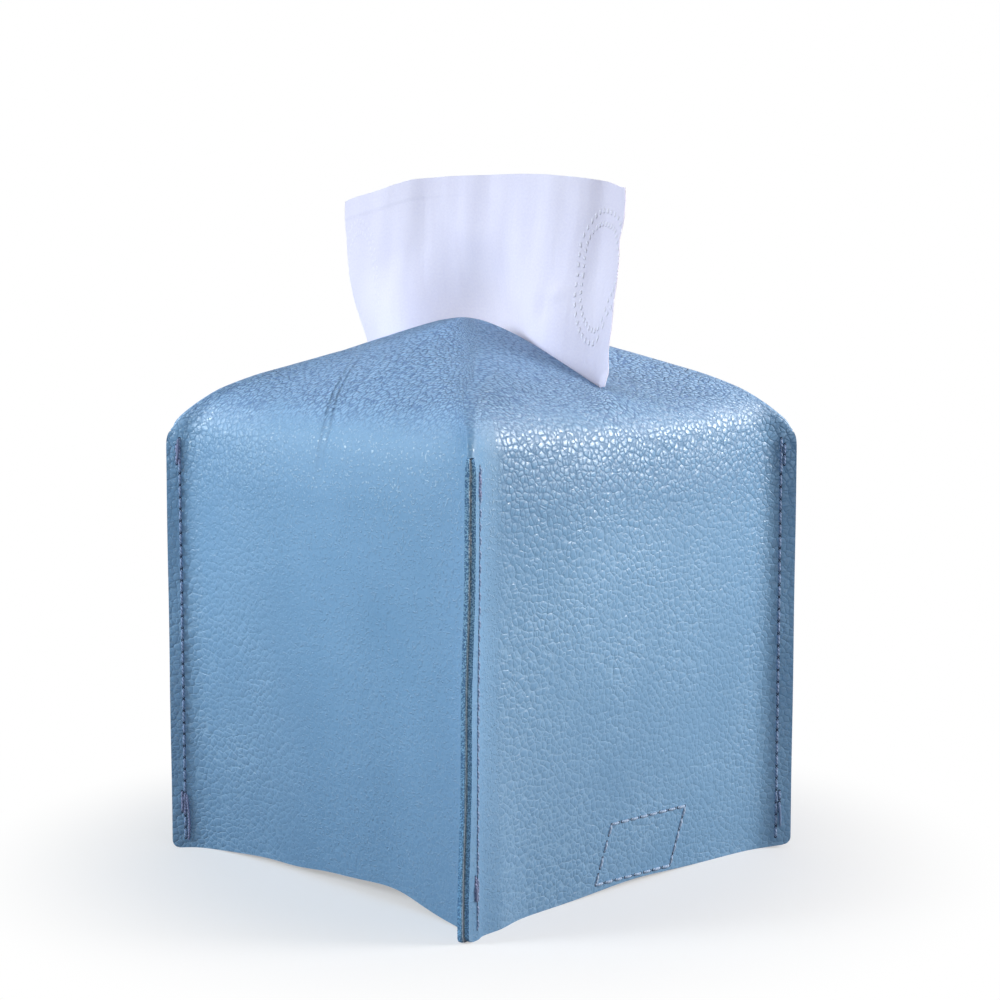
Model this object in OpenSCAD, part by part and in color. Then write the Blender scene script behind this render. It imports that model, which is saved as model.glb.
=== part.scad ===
// Leather tissue box cover: a soft sewn cover that drops over a cube carton of tissues.
// Origin: middle of the footprint, on the surface it stands on. +Z up, front face towards -Y.
// Four panels meet in outward corner seams, and above the seams the same hide folds over into
// a soft roof with one long slit. Two leather belt halves close under the carton.

/* [Cover size] */
// Width between the stitch lines of two neighbouring corner seams
cover_w = 126.5; // [116:0.5:152]
// Height of the corner seams, where the roof begins
seam_h = 127; // [110:1:170]
// Height of the slit's lips at the middle of the roof
peak_h = 160.8; // [150:0.2:200]
// How far a wall stays inside the stitch lines where it is fullest
bulge_inset = 0.65; // [-1:0.05:2.5]
// How far the front and the back wall draw in from the stitch lines at the hem
front_hem_inset = 6.65; // [3:0.05:6.8]
// How far the two side walls draw in from the stitch lines at the hem
side_hem_inset = 5.05; // [3:0.05:6.8]
// Lift of the front and the back hem off the table at its middle
hem_lift = 3; // [0:0.5:4]

/* [Hide] */
// Thickness of the outer hide
leather_t = 1.05; // [0.8:0.05:1.4]
// Thickness of the lining glued to the hide's back
lining_t = 0.35; // [0.2:0.05:0.5]
// How far the lining stops short of the cut hem
lining_trim = 0.6; // [0.3:0.1:0.8]
// Gap between the two layers pressed together in a seam
seam_gap = 0.1; // [0.04:0.02:0.3]

/* [Corner seams] */
// Width of hide left outside the stitch line
seam_margin = 4; // [3:0.25:6]
// Flat strip inside the stitch line before the panel turns away
seam_inset = 1; // [0.7:0.1:2]
// Radius of the seam's lower outer corner
seam_corner_r = 3; // [2:0.25:4]
// How far the panel swings out on its way into the seam
flare = 2.6; // [1:0.1:4]
// Radius of the folded ridge above a seam
ridge_r = 2.5; // [2:0.1:4]
// Extra radius where the hide folds over right above a seam
fold_ease = 0.3; // [0.2:0.05:0.6]

/* [Slit] */
// Length of the slit along X
slit_l = 100; // [80:1:104]
// Gap between the lips at the middle of the slit
slit_gap = 14; // [8:0.5:18]
// Height of the slit's two ends
slit_end_h = 141.5; // [138:0.5:148]

/* [Stitching] */
// Diameter of the sewing thread
thread_d = 0.8; // [0.5:0.05:1]
// Length of one stitch on the surface
stitch_l = 2.3; // [1.6:0.1:2.5]
// Distance from one stitch to the next
stitch_pitch = 2.8; // [2.6:0.1:4]
// Height of the first stitch above the hem
stitch_start = 4.4; // [3.5:0.1:8]
// Height of the locking stitches above the hem
tack_h = 13.5; // [10:0.5:30]

/* [Belt] */
// Width of both belt halves
belt_w = 36; // [24:1:40]
// Thickness of the belt leather
belt_t = 1.2; // [1:0.05:1.3]
// Place of the belt's middle along Y
belt_y = 7; // [-10:1:12]
// Height of the sewn belt root above the table
root_h = 21; // [15:0.5:24]
// Sideways slant of the sewn root
root_slant = 5.5; // [0:0.5:8]
// Distance from a root's sides and top to its stitch line
root_margin = 2.1; // [1.5:0.1:4]
// Distance from a root's lower edge, where the belt folds, to its stitch line
root_foot_margin = 1; // [0.8:0.1:3]
// How far the lower belt half's free end reaches past the middle
strap_past = 30; // [24:0.5:38]
// How far the upper belt half's free end stops short of the middle
tab_short = 5; // [0:0.5:12]
// Corner radius of a belt half's free end
belt_end_r = 6; // [3:0.5:9]
// Clearance between parts that move past each other
play = 0.3; // [0.25:0.05:0.4]

/* [Hook and loop] */
// Length of a pad along the belt
pad_l = 22; // [14:1:24]
// Distance from the belt's long edges to a pad
pad_inset = 2.5; // [1.5:0.5:5]
// Thickness of a pad's woven base
pad_base_t = 0.4; // [0.3:0.05:0.5]
// Height of the hooks or loops on the base
pad_pile_t = 0.5; // [0.4:0.05:0.6]
// Bare sewing margin round the hooks or loops
pad_margin = 2; // [1.4:0.1:3]
// Distance from the belt's free end to its pad
pad_end = 2; // [1:0.5:6]

/* [Tissue] */
// Height of the raised sheet's top edge at its middle
tissue_top = 202.5; // [190:0.5:215]
// Height where the modelled part of the sheet begins
tissue_foot = 131; // [130.5:0.5:134]
// Width of the sheet where it passes the slit
tissue_w = 95; // [70:1:95]
// Width of the sheet at its top edge
tissue_top_w = 120; // [90:1:126]
// Drop of the top edge at its two corners
tissue_droop = 8; // [0:0.5:12]
// Thickness of the two plies together
tissue_t = 0.5; // [0.4:0.05:0.6]
// Distance in plan from the lips to the sheet where it leans on them
lip_gap = 0.25; // [0.2:0.05:0.4]
// Number of waves across the sheet
tissue_waves = 1.5; // [1:0.5:3]
// How far the loose top bends out of the slit's wave
tissue_sway = 3; // [0:0.5:5]

/* [Hidden] */
$fn = 32;
hide_blue = [0.50, 0.63, 0.78];
lining_grey = [0.72, 0.75, 0.78];
belt_blue = [0.42, 0.53, 0.68];
thread_blue = [0.63, 0.74, 0.87];
tack_lilac = [0.62, 0.58, 0.72];
pad_blue = [0.28, 0.35, 0.46];
tissue_white = [0.95, 0.96, 1.00];

// Grid over the cover: face columns each side of a face's middle, and rows up the roof
half_cols = 7;
roof_rows = 9;
// Heights of the wall's rows as shares of the seam height, with how far the wall has swelled
// from the hem to its fullest width there
swell_shares = [
    [0, 0], [0.19, 0.28], [0.38, 0.52], [0.56, 0.74], [0.72, 0.92],
    [0.84, 1], [0.92, 0.98], [0.97, 0.87], [1, 0.73],
];
// Height of the extra row that rounds the seam's lower corner, as a share of its radius
corner_row_share = 0.3;
// Height over which the hem's lift dies out, as a share of the seam height
lift_reach_share = 0.3;
// Powers of the roof's curve from the seam top to the lip: along and up
roof_run_power = 1.2;
roof_rise_power = 1.65;
// Powers of a panel's sideways curve: its hollow, and its turn into the seam
hollow_power = 3;
flare_power = 20;
// Half angle round the ridge's crest that its rounding takes once the pinched fold has opened
ridge_turn = 65;
// Half angle of the crest in the pinched fold right above a seam
pinch_turn = 75;
// Share of the roof's quarter turn over which the pinched fold opens
pinch_share = 0.44;
pinch_power = 1.5;
// Angle along the slit's loop that a roof ridge runs to
ridge_slit_angle = 73;
// Powers of the slit's plan and of the fall of its lips towards the ends
slit_plan_power = 1.2;
lip_fall_power = 1.75;
// Tissue: powers of its corners' droop and of its fanning out above the slit, and the angles
// that its loose top's sway runs through from the middle to an edge and starts from
corner_droop_power = 3;
fan_power = 0.8;
sway_turn = 250;
sway_start = 40;

// Cover: derived sizes, measured along a diagonal where they belong to a corner
stitch_d = cover_w / sqrt(2);
seam_tip_d = stitch_d + seam_margin;
seam_root_d = stitch_d - seam_inset;
wall_t = leather_t + lining_t;
fold_half = seam_gap / 2 + wall_t;
cols_per_face = 2 * half_cols + 4;
ring_cols = 4 * cols_per_face;
wall_rows = [
    0, corner_row_share * seam_corner_r, seam_corner_r,
    for (i = [1 : len(swell_shares) - 1]) swell_shares[i][0] * seam_h,
];
seam_row = len(wall_rows) - 1;
last_row = seam_row + roof_rows;

// Belt: slope of the side wall above the hem, the fold lines, and both halves' levels
lean = atan(swell_shares[1][1] * (side_hem_inset - bulge_inset) / (swell_shares[1][0] * seam_h));
fold_x = cover_w / 2 - side_hem_inset - wall_t - play - belt_t / 2;
strap_l = fold_x + strap_past;
tab_l = fold_x - tab_short;
strap_z = belt_t / 2;
tab_z = strap_z + belt_t + 2 * (pad_base_t + pad_pile_t) + play;
// Clearance that keeps a sewn root and its thread just off the faces that they lie on
seat_gap = 0.03;

function mix(a, b, share) = a + (b - a) * share;

function unit(v) = v / norm(v);

// Half width of the wall's middle for a face (0 front, 1 right, 2 back, 3 left) at height z
function wall_half(face, z) =
    let (hem_inset = face % 2 == 0 ? front_hem_inset : side_hem_inset)
    cover_w / 2 - mix(hem_inset, bulge_inset, lookup(z / seam_h, swell_shares));

// Place in a face's own plan from the distance along its corner's diagonal and off it
function from_corner(d, off) = [(d - off) / sqrt(2), (d + off) / sqrt(2)];

// Outline point of the cover in a face's plan, as [along the face, out from the middle].
// col counts from the face's middle: up to half_cols on the panel, then the seam's cut edge
// and the crest of the fold. pinch is 1 where the two layers lie flat together, 0 where the
// fold has opened into a ridge. edge_d is the cut edge's place along the diagonal.
function outline_point(col, middle, pinch, edge_d) =
    let (
        side = sign(col),
        n = abs(col),
        r = mix(ridge_r, fold_half, pinch),
        turn = mix(ridge_turn, 90, pinch),
        flat = (seam_tip_d - fold_half - seam_root_d) * pinch,
        root = from_corner(seam_tip_d - r + r * cos(turn) - flat, r * sin(turn)),
        tip_r = mix(ridge_r, fold_half + fold_ease, pinch),
        half_turn = mix(ridge_turn / 2, pinch_turn, pinch),
        s = sin(90 * min(n, half_cols) / half_cols),
        hollow = root[1] - middle - flare * pinch,
        p = n <= half_cols
            ? [root[0] * s, middle + hollow * pow(s, hollow_power) + flare * pinch * pow(s, flare_power)]
            : n == half_cols + 1
                ? (is_undef(edge_d)
                    ? from_corner(seam_tip_d - tip_r + tip_r * cos(half_turn), tip_r * sin(half_turn))
                    : from_corner(edge_d, fold_half))
                : from_corner(seam_tip_d, 0)
    )
    [side * p[0], p[1]];

// Turns a face's plan point to its place round the cover
function face_to_plan(face, p) =
    face == 0 ? [p[0], -p[1]] :
    face == 1 ? [p[1], p[0]] :
    face == 2 ? [-p[0], p[1]] : [-p[1], -p[0]];

// Half gap between the lips, and the lips' height, at a distance along the slit
function slit_half(x) = slit_gap / 2 * pow(max(0, 1 - pow(2 * x / slit_l, 2)), slit_plan_power / 2);

function lip_z(x) = mix(peak_h, slit_end_h, pow(abs(2 * x / slit_l), lip_fall_power));

// Point of the slit's loop that a column of a face runs to
function slit_point(face, col) =
    let (
        share = col / (half_cols + 2),
        angle = 90 * (face - 1) + share * (face % 2 == 0 ? 90 - ridge_slit_angle : ridge_slit_angle),
        x = slit_l / 2 * cos(angle)
    )
    [x, sign(sin(angle)) * slit_half(x), lip_z(x)];

// Cut edge of a seam at height z, with its rounded lower corner
function edge_at(z) =
    z < seam_corner_r
        ? seam_tip_d - seam_corner_r + sqrt(pow(seam_corner_r, 2) - pow(seam_corner_r - z, 2))
        : seam_tip_d;

function lift_at(face, col, z) =
    face % 2 == 1 || abs(col) > half_cols ? 0 :
    hem_lift * pow(cos(90 * col / half_cols), 4) * pow(max(0, 1 - z / (lift_reach_share * seam_h)), 2);

// Outer surface of the cover
function outer_point(face, col, row) =
    row <= seam_row
        ? let (
            z = wall_rows[row],
            edge_d = row == seam_row ? undef : edge_at(z),
            p = face_to_plan(face, outline_point(col, wall_half(face, z), 1, edge_d))
        )
        [p[0], p[1], z + lift_at(face, col, z)]
        : let (
            share = (row - seam_row) / roof_rows,
            pinch = pow(max(0, 1 - share / pinch_share), pinch_power),
            run = pow(cos(90 * share), 2 / roof_run_power),
            rise = pow(sin(90 * share), 2 / roof_rise_power),
            from = face_to_plan(face, outline_point(col, wall_half(face, seam_h), pinch, undef)),
            to = slit_point(face, col)
        )
        [mix(to[0], from[0], run), mix(to[1], from[1], run), mix(seam_h, to[2], rise)];

// Ring order of the columns: a face's cut edge, its panel, its other cut edge, then the crest
function ring_face(i) = floor(i / cols_per_face);
function ring_col(i) = i % cols_per_face - (half_cols + 1);
function is_crest(i) = i % cols_per_face == cols_per_face - 1;

// A cell of the grid spans column i to i + 1 and row to row + 1. Beside a crest there is no
// hide below the seam's top: the panels end there in cut edges.
function has_cell(i, row) =
    row >= seam_row || !(is_crest(i) || is_crest((i + 1) % ring_cols));

outer_grid = [for (row = [0 : last_row]) [for (i = [0 : ring_cols - 1])
    outer_point(ring_face(i), ring_col(i), row)]];

// Outward direction of the grid at a point, from its neighbours that exist. At the hem it is
// level, so the cut edge stands flat on the table.
function outward(i, row) =
    let (
        next = (i + 1) % ring_cols,
        prev = (i + ring_cols - 1) % ring_cols,
        open = row < seam_row,
        ahead = open && is_crest(next) ? i : next,
        behind = open && is_crest(prev) ? i : prev,
        up = min(row + 1, last_row),
        down = is_crest(i) && row <= seam_row ? row : max(row - 1, 0),
        n = cross(outer_grid[row][ahead] - outer_grid[row][behind], outer_grid[up][i] - outer_grid[down][i])
    )
    unit(row == 0 ? [n[0], n[1], 0] : n);

out_grid = [for (row = [0 : last_row]) [for (i = [0 : ring_cols - 1])
    is_crest(i) && row < seam_row ? [0, 0, 1] : outward(i, row)]];

// Point of the wall at a depth below the outer surface. trim raises the hem row up the wall.
function wall_point(i, row, depth, trim) =
    let (
        p = outer_grid[row][i] - depth * out_grid[row][i],
        q = outer_grid[1][i] - depth * out_grid[1][i]
    )
    row > 0 || trim == 0 ? p : mix(p, q, trim / wall_rows[1]);

// One layer of the wall between two depths, as a closed surface over the existing cells
module layer(top_depth, under_depth, trim = 0) {
    used = [for (row = [0 : last_row]) for (i = [0 : ring_cols - 1]) !(is_crest(i) && row < seam_row)];
    count = [for (n = 0, k = 0; k < len(used); n = n + (used[k] ? 1 : 0), k = k + 1) n];
    total = count[len(used) - 1] + 1;
    points = [for (depth = [top_depth, under_depth]) for (row = [0 : last_row])
        for (i = [0 : ring_cols - 1]) if (used[row * ring_cols + i]) wall_point(i, row, depth, trim)];
    function at(i, row) = count[row * ring_cols + i % ring_cols];
    skins = [for (row = [0 : last_row - 1]) for (i = [0 : ring_cols - 1]) if (has_cell(i, row))
        let (a = at(i, row), b = at(i + 1, row), c = at(i + 1, row + 1), d = at(i, row + 1))
        each [[a, d, c], [a, c, b], [a + total, c + total, d + total], [a + total, b + total, c + total]]];
    // An edge of the hide is closed where a cell has no neighbour
    hems = [for (row = [0 : last_row]) for (i = [0 : ring_cols - 1])
        let (
            above = row < last_row && has_cell(i, row),
            below = row > 0 && has_cell(i, row - 1),
            a = at(i, row),
            b = at(i + 1, row)
        )
        if (above != below)
            each above
                ? [[a, b, b + total], [a, b + total, a + total]]
                : [[a, b + total, b], [a, a + total, b + total]]];
    sides = [for (row = [0 : last_row - 1]) for (i = [0 : ring_cols - 1])
        let (
            right = has_cell(i, row),
            left = has_cell((i + ring_cols - 1) % ring_cols, row),
            a = at(i, row),
            d = at(i, row + 1)
        )
        if (right != left)
            each right
                ? [[a, a + total, d + total], [a, d + total, d]]
                : [[a, d + total, a + total], [a, d, d + total]]];
    polyhedron(points, concat(skins, hems, sides), convexity = 10);
}

module leather_cover() {
    color(hide_blue) layer(0, leather_t);
}

module lining() {
    color(lining_grey) layer(leather_t, wall_t, lining_trim);
}

// One stitch: half a round thread, its flat side on the plane x = 0, running along z
module stitch(l = stitch_l) {
    linear_extrude(height = l, center = true)
        intersection() {
            circle(d = thread_d);
            translate([0, -thread_d])
                square([thread_d, 2 * thread_d]);
        }
}

// Stitches on both sides of one corner seam, up to where the fold starts
module seam_thread(corner) {
    top = wall_rows[seam_row - 1] - stitch_l;
    count = floor((top - stitch_start) / stitch_pitch) + 1;
    rotate([0, 0, 90 * corner - 45])
        for (n = [0 : count - 1])
            for (side = [-1, 1])
                translate([stitch_d, side * fold_half, stitch_start + n * stitch_pitch])
                    rotate([0, 0, side * 90])
                        stitch();
}

module front_right_seam_thread() {
    color(thread_blue) seam_thread(0);
}

module back_right_seam_thread() {
    color(thread_blue) seam_thread(1);
}

module back_left_seam_thread() {
    color(thread_blue) seam_thread(2);
}

module front_left_seam_thread() {
    color(thread_blue) seam_thread(3);
}

// Two locking stitches beside each seam, on both of its sides, near the hem and near the top
module locking_stitches() {
    color(tack_lilac)
        for (corner = [0 : 3])
            rotate([0, 0, 90 * corner - 45])
                for (z = [tack_h, wall_rows[seam_row - 1] - 2 * stitch_l])
                    for (n = [1, 2])
                        for (side = [-1, 1])
                            translate([stitch_d + n * (thread_d + seam_gap), side * fold_half, z])
                                rotate([0, 0, side * 90])
                                    stitch();
}

// Places children on a side wall near the hem: origin at the hem on the outer surface, x
// outwards, z up along the wall. side is 1 for the right wall and -1 for the left.
module on_side_wall(side) {
    rotate([0, 0, side > 0 ? 0 : 180])
        translate([wall_half(1, 0), 0, 0])
            rotate([0, lean, 0])
                children();
}

// How far the side wall's outer surface stands out of its middle plane at a place along it
function wall_stand_out(y, z) =
    let (
        root = outline_point(half_cols, wall_half(1, z), 1, undef),
        hollow = root[1] - wall_half(1, z) - flare
    )
    lookup(abs(y), [for (c = [0 : half_cols])
        let (s = sin(90 * c / half_cols)) [root[0] * s, hollow * pow(s, hollow_power)]]);

// Place of a root's sewn face, which is clear of the wall's curve over the whole root
function root_seat() =
    let (edge = abs(belt_y) + (belt_w + root_slant) / 2)
    min(0, wall_stand_out(edge, 0), wall_stand_out(edge, root_h)) - wall_t - seat_gap;

// Corners of a sewn root in the wall's plane, from low left round, drawn in by a margin at its
// lower edge and another at its sides and top
function root_corners(low, foot, margin) = [
    [-belt_w / 2 + margin - root_slant / 2, low + foot],
    [belt_w / 2 - margin - root_slant / 2, low + foot],
    [belt_w / 2 - margin + root_slant / 2, root_h - margin],
    [-belt_w / 2 + margin + root_slant / 2, root_h - margin],
];

// A belt root: a slanted patch of leather flat on the lining, inside the side wall
module root_patch(side, low) {
    on_side_wall(side)
        translate([root_seat(), side * belt_y, 0])
            rotate([90, 0, -90])
                linear_extrude(height = belt_t)
                    polygon([for (p = root_corners(low, 0, 0)) [-side * p[0], p[1]]]);
}

// Stitches along a closed outline of [y, z] corners, flat on the plane x = 0 or standing out
// from it with the wall's own curve. A corner is a needle hole that no stitch runs over.
module stitch_ring(corners, y_place, follow_wall) {
    for (e = [0 : len(corners) - 1]) {
        a = corners[e];
        b = corners[(e + 1) % len(corners)];
        way = unit(b - a);
        run = norm(b - a) - 2 * thread_d;
        count = max(1, floor(run / stitch_pitch));
        for (n = [0 : count - 1]) {
            p = a + way * (thread_d + run * (n + 0.5) / count);
            z = max(0, p[1] - stitch_l / 2);
            y = abs(y_place + p[0]);
            stand = follow_wall
                ? max(wall_stand_out(y + stitch_l / 2, z), wall_stand_out(max(0, y - stitch_l / 2), z))
                : 0;
            translate([stand, y_place + p[0], p[1]])
                rotate([-atan2(way[0], way[1]), 0, 0])
                    stitch(min(stitch_l, run / count - thread_d / 2));
        }
    }
}

// Stitches of a root: one ring on the outside of the wall, one on the patch inside
module root_stitches(side, low) {
    corners = [for (p = root_corners(low, root_foot_margin, root_margin)) [side * p[0], p[1]]];
    on_side_wall(side) {
        translate([seat_gap, 0, 0])
            stitch_ring(corners, side * belt_y, true);
        translate([root_seat() - belt_t - seat_gap, 0, 0])
            mirror([1, 0, 0])
                stitch_ring(corners, side * belt_y, false);
    }
}

// A belt half in its own frame: fold axis along y at the origin, running towards -x
module belt_half(l) {
    r = belt_end_r;
    translate([0, 0, -belt_t / 2])
        linear_extrude(height = belt_t) {
            translate([r - l, -belt_w / 2])
                square([l - r, belt_w]);
            translate([-l, r - belt_w / 2])
                square([l - r, belt_w - 2 * r]);
            for (y = [-1, 1])
                translate([r - l, y * (belt_w / 2 - r)])
                    circle(r = r);
        }
    rotate([90, 0, 0])
        cylinder(h = belt_w, d = belt_t, center = true);
}

// A pad of hooks or loops: woven base with a bare margin for its stitches, face up
module pad(l) {
    w = belt_w - 2 * pad_inset;
    translate([pad_end - l, -w / 2, 0]) {
        cube([pad_l, w, pad_base_t]);
        translate([pad_margin, pad_margin, pad_base_t])
            cube([pad_l - 2 * pad_margin, w - 2 * pad_margin, pad_pile_t]);
    }
}

module pad_stitches(l) {
    w = belt_w - 2 * pad_inset;
    m = pad_margin / 2;
    corners = [[m - w / 2, m], [w / 2 - m, m], [w / 2 - m, pad_l - m], [m - w / 2, pad_l - m]];
    translate([pad_end - l + pad_l, 0, pad_base_t])
        rotate([0, -90, 0])
            stitch_ring(corners, 0, false);
}

// Places a belt half's pieces at rest: the strap from the right, the tab from the left
module strap_place() {
    translate([fold_x, belt_y, strap_z])
        children();
}

module tab_place() {
    translate([-fold_x, belt_y, tab_z])
        rotate([0, 0, 180])
            children();
}

module strap_root() {
    color(belt_blue) root_patch(1, belt_t + play);
}

module strap_root_stitches() {
    color(thread_blue) root_stitches(1, belt_t + play);
}

module tab_root() {
    color(belt_blue) root_patch(-1, tab_z + belt_t / 2 + play);
}

module tab_root_stitches() {
    color(thread_blue) root_stitches(-1, tab_z + belt_t / 2 + play);
}

module strap() {
    color(belt_blue) strap_place() belt_half(strap_l);
}

module hook_pad() {
    color(pad_blue) strap_place() translate([0, 0, belt_t / 2]) pad(strap_l);
}

module hook_pad_stitches() {
    color(thread_blue) strap_place() translate([0, 0, belt_t / 2]) pad_stitches(strap_l);
}

module tab() {
    color(belt_blue) tab_place() belt_half(tab_l);
}

module loop_pad() {
    color(pad_blue) tab_place() mirror([0, 0, 1]) translate([0, 0, belt_t / 2]) pad(tab_l);
}

module loop_pad_stitches() {
    color(thread_blue) tab_place() mirror([0, 0, 1]) translate([0, 0, belt_t / 2]) pad_stitches(tab_l);
}

// Middle surface of the tissue at a share across (-1 to 1) and a share up (0 to 1). Within the
// slit its plan stays one gentle wave from lip to lip, so it slides straight up.
function tissue_point(across, up) =
    let (
        top = tissue_top - tissue_droop * pow(abs(across), corner_droop_power),
        z = mix(tissue_foot, top, up),
        loose = max(0, (z - peak_h) / (tissue_top - peak_h)),
        x = across * mix(tissue_w, tissue_top_w, pow(loose, fan_power)) / 2,
        room = slit_half(across * tissue_w / 2) - lip_gap - tissue_t / 2,
        wave = room * cos(180 * tissue_waves * across),
        sway = tissue_sway * loose * sin(sway_turn * across + sway_start)
    )
    [x, wave + sway, z];

module tissue_sheet() {
    cols = 36;
    rows = 14;
    mid = [for (v = [0 : rows]) [for (u = [0 : cols]) tissue_point(2 * u / cols - 1, v / rows)]];
    function across_dir(u, v) = mid[v][min(u + 1, cols)] - mid[v][max(u - 1, 0)];
    function up_dir(u, v) = mid[min(v + 1, rows)][u] - mid[max(v - 1, 0)][u];
    points = [for (side = [-1, 1]) for (v = [0 : rows]) for (u = [0 : cols])
        mid[v][u] + side * tissue_t / 2 * unit(cross(up_dir(u, v), across_dir(u, v)))];
    total = (cols + 1) * (rows + 1);
    function at(u, v) = v * (cols + 1) + u;
    skins = [for (v = [0 : rows - 1]) for (u = [0 : cols - 1])
        let (a = at(u, v), b = at(u + 1, v), c = at(u + 1, v + 1), d = at(u, v + 1))
        each [[a, d, c], [a, c, b], [a + total, c + total, d + total], [a + total, b + total, c + total]]];
    rim = concat(
        [for (u = [0 : cols - 1]) at(u, 0)], [for (v = [0 : rows - 1]) at(cols, v)],
        [for (u = [cols : -1 : 1]) at(u, rows)], [for (v = [rows : -1 : 1]) at(0, v)]);
    edges = [for (k = [0 : len(rim) - 1])
        let (a = rim[k], b = rim[(k + 1) % len(rim)])
        each [[a, b, b + total], [a, b + total, a + total]]];
    color(tissue_white) polyhedron(points, concat(skins, edges), convexity = 10);
}

leather_cover();
lining();
front_left_seam_thread();
front_right_seam_thread();
back_right_seam_thread();
back_left_seam_thread();
locking_stitches();
strap_root();
strap_root_stitches();
strap();
hook_pad();
hook_pad_stitches();
tab_root();
tab_root_stitches();
tab();
loop_pad();
loop_pad_stitches();
tissue_sheet();
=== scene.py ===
import math

import bpy
import numpy as np
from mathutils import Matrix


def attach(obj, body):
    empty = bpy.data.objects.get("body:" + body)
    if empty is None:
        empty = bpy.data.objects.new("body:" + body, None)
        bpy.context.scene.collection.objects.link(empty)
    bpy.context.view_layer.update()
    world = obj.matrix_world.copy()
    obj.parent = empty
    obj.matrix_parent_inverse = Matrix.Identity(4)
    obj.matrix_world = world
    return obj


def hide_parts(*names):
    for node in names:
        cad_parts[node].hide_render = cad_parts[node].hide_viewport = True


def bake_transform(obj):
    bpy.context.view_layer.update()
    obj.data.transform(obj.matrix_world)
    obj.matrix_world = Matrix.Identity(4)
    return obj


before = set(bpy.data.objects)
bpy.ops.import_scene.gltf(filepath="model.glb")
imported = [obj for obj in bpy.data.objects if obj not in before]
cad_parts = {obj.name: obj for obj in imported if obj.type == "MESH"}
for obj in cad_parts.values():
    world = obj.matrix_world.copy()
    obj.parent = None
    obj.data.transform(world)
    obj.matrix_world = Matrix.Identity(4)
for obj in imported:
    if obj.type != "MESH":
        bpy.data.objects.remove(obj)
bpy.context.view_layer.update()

# Hide: one cross-shaped piece of pebbled, blue-dyed leather about 1 mm thick. Its four sides hang
# down and are sewn edge to edge, with the allowance standing out at the corners, and above each
# seam the same piece folds over into a soft ridge. The slit in the roof is a plain cut.
MM = 0.001
COVER_W, SEAM_H, PEAK_H = 126.5, 127.0, 160.8
HIDE_T, LINING_T, SEAM_GAP, SEAM_MARGIN, SEAM_ROOT = 1.05, 0.35, 0.1, 4.0, 1.0
STITCH_D = COVER_W / math.sqrt(2)
TIP_D, ROOT_D = STITCH_D + SEAM_MARGIN, STITCH_D - SEAM_ROOT
FOLD_HALF = SEAM_GAP / 2 + HIDE_T + LINING_T
SLIT_L, SLIT_GAP, SLIT_END_H = 100.0, 14.0, 141.5
# The hem stands in from the stitch line, more on the front and back (first) than on the sides,
# and in the middle of the front and back it is cut up a little.
HEM_INSET, TOP_INSET = (6.65, 5.05), 0.65
HEM_LIFT, LIFT_H = 3.0, .3 * SEAM_H
# How much of that inset the full wall has won back, by share of its height. It is fullest below the
# shoulder.
SWELL = np.array([[0, 0], [.19, .28], [.38, .52], [.56, .74], [.72, .92], [.84, 1], [.92, .98], [.97, .87], [1, .73]])


def mix(a, b, share):
    return a + (b - a) * share


def eased(share):
    share = np.clip(share, 0, 1)
    return share * share * (3 - 2 * share)


def ramp(value, start, end):
    """0 before start, 1 past end, and a smooth way between them. end may be the lower one."""
    return eased((value - start) / (end - start))


def bell(value, middle, width):
    return np.exp(-(((value - middle) / width) ** 2))


def rounded_in(left, radius):
    """How far a rounded corner has drawn an edge in, where left is the distance to its end."""
    short = np.maximum(radius - left, 0)
    return radius - np.sqrt(np.maximum(radius**2 - short**2, 0))


def swell(z):
    """How far the wall has swelled at a height, as a smooth curve through the table."""
    k, v = SWELL.T
    slope = np.gradient(v, k)
    x = np.clip(z / SEAM_H, 0, 1)
    i = np.clip(np.searchsorted(k, x, "right") - 1, 0, len(k) - 2)
    h = k[i + 1] - k[i]
    t = (x - k[i]) / h
    return ((2 * t**3 - 3 * t**2 + 1) * v[i] + (t**3 - 2 * t**2 + t) * h * slope[i]
            + (3 * t**2 - 2 * t**3) * v[i + 1] + (t**3 - t**2) * h * slope[i + 1])


def wall_half(face, z):
    return COVER_W / 2 - mix(np.where(face % 2 == 0, *HEM_INSET), TOP_INSET, swell(z))


def from_corner(d, off):
    return (d - off) / math.sqrt(2), (d + off) / math.sqrt(2)


def corner_ways(corner):
    """Unit directions of a corner seam: out along its diagonal, and across it, clockwise."""
    turn = math.radians(90 * corner - 45)
    return np.array([math.cos(turn), math.sin(turn), 0]), np.array([math.sin(turn), -math.cos(turn), 0])


def face_to_plan(face, along, out):
    x = np.select([face == 0, face == 1, face == 2], [along, out, -along], -out)
    y = np.select([face == 0, face == 1, face == 2], [-out, along, out], -along)
    return x, y


def slit_half(x):
    """Half width of the open slit, which is pointed at its ends."""
    return SLIT_GAP / 2 * np.maximum(0, 1 - (2 * x / SLIT_L) ** 2) ** 0.6


def lip_z(x):
    """Height of the slit's lip, which falls from the peak to the slit's ends."""
    return mix(PEAK_H, SLIT_END_H, np.abs(2 * x / SLIT_L) ** 1.75)


HEAD_THIN, HEAD_H = .6, 5.5


def head_thin(z):
    """How far the layers of a seam are squeezed at its cut edge, near the seam's rounded top."""
    return mix(1, HEAD_THIN, np.clip(1 - (SEAM_H - np.asarray(z)) / HEAD_H, 0, 1) ** 2.5)


# A ridge's fold where it lies open on the roof and where it is pinched shut at the seam's top: its
# radius at the root and at the tip, and how far in degrees it has turned at the root and half way.
FOLD_OPEN, FOLD_SHUT = (2.5, 2.3, 65, 32.5), (FOLD_HALF, FOLD_HALF * HEAD_THIN + .1, 90, 75)
PANEL_DRAW = 2.6


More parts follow.
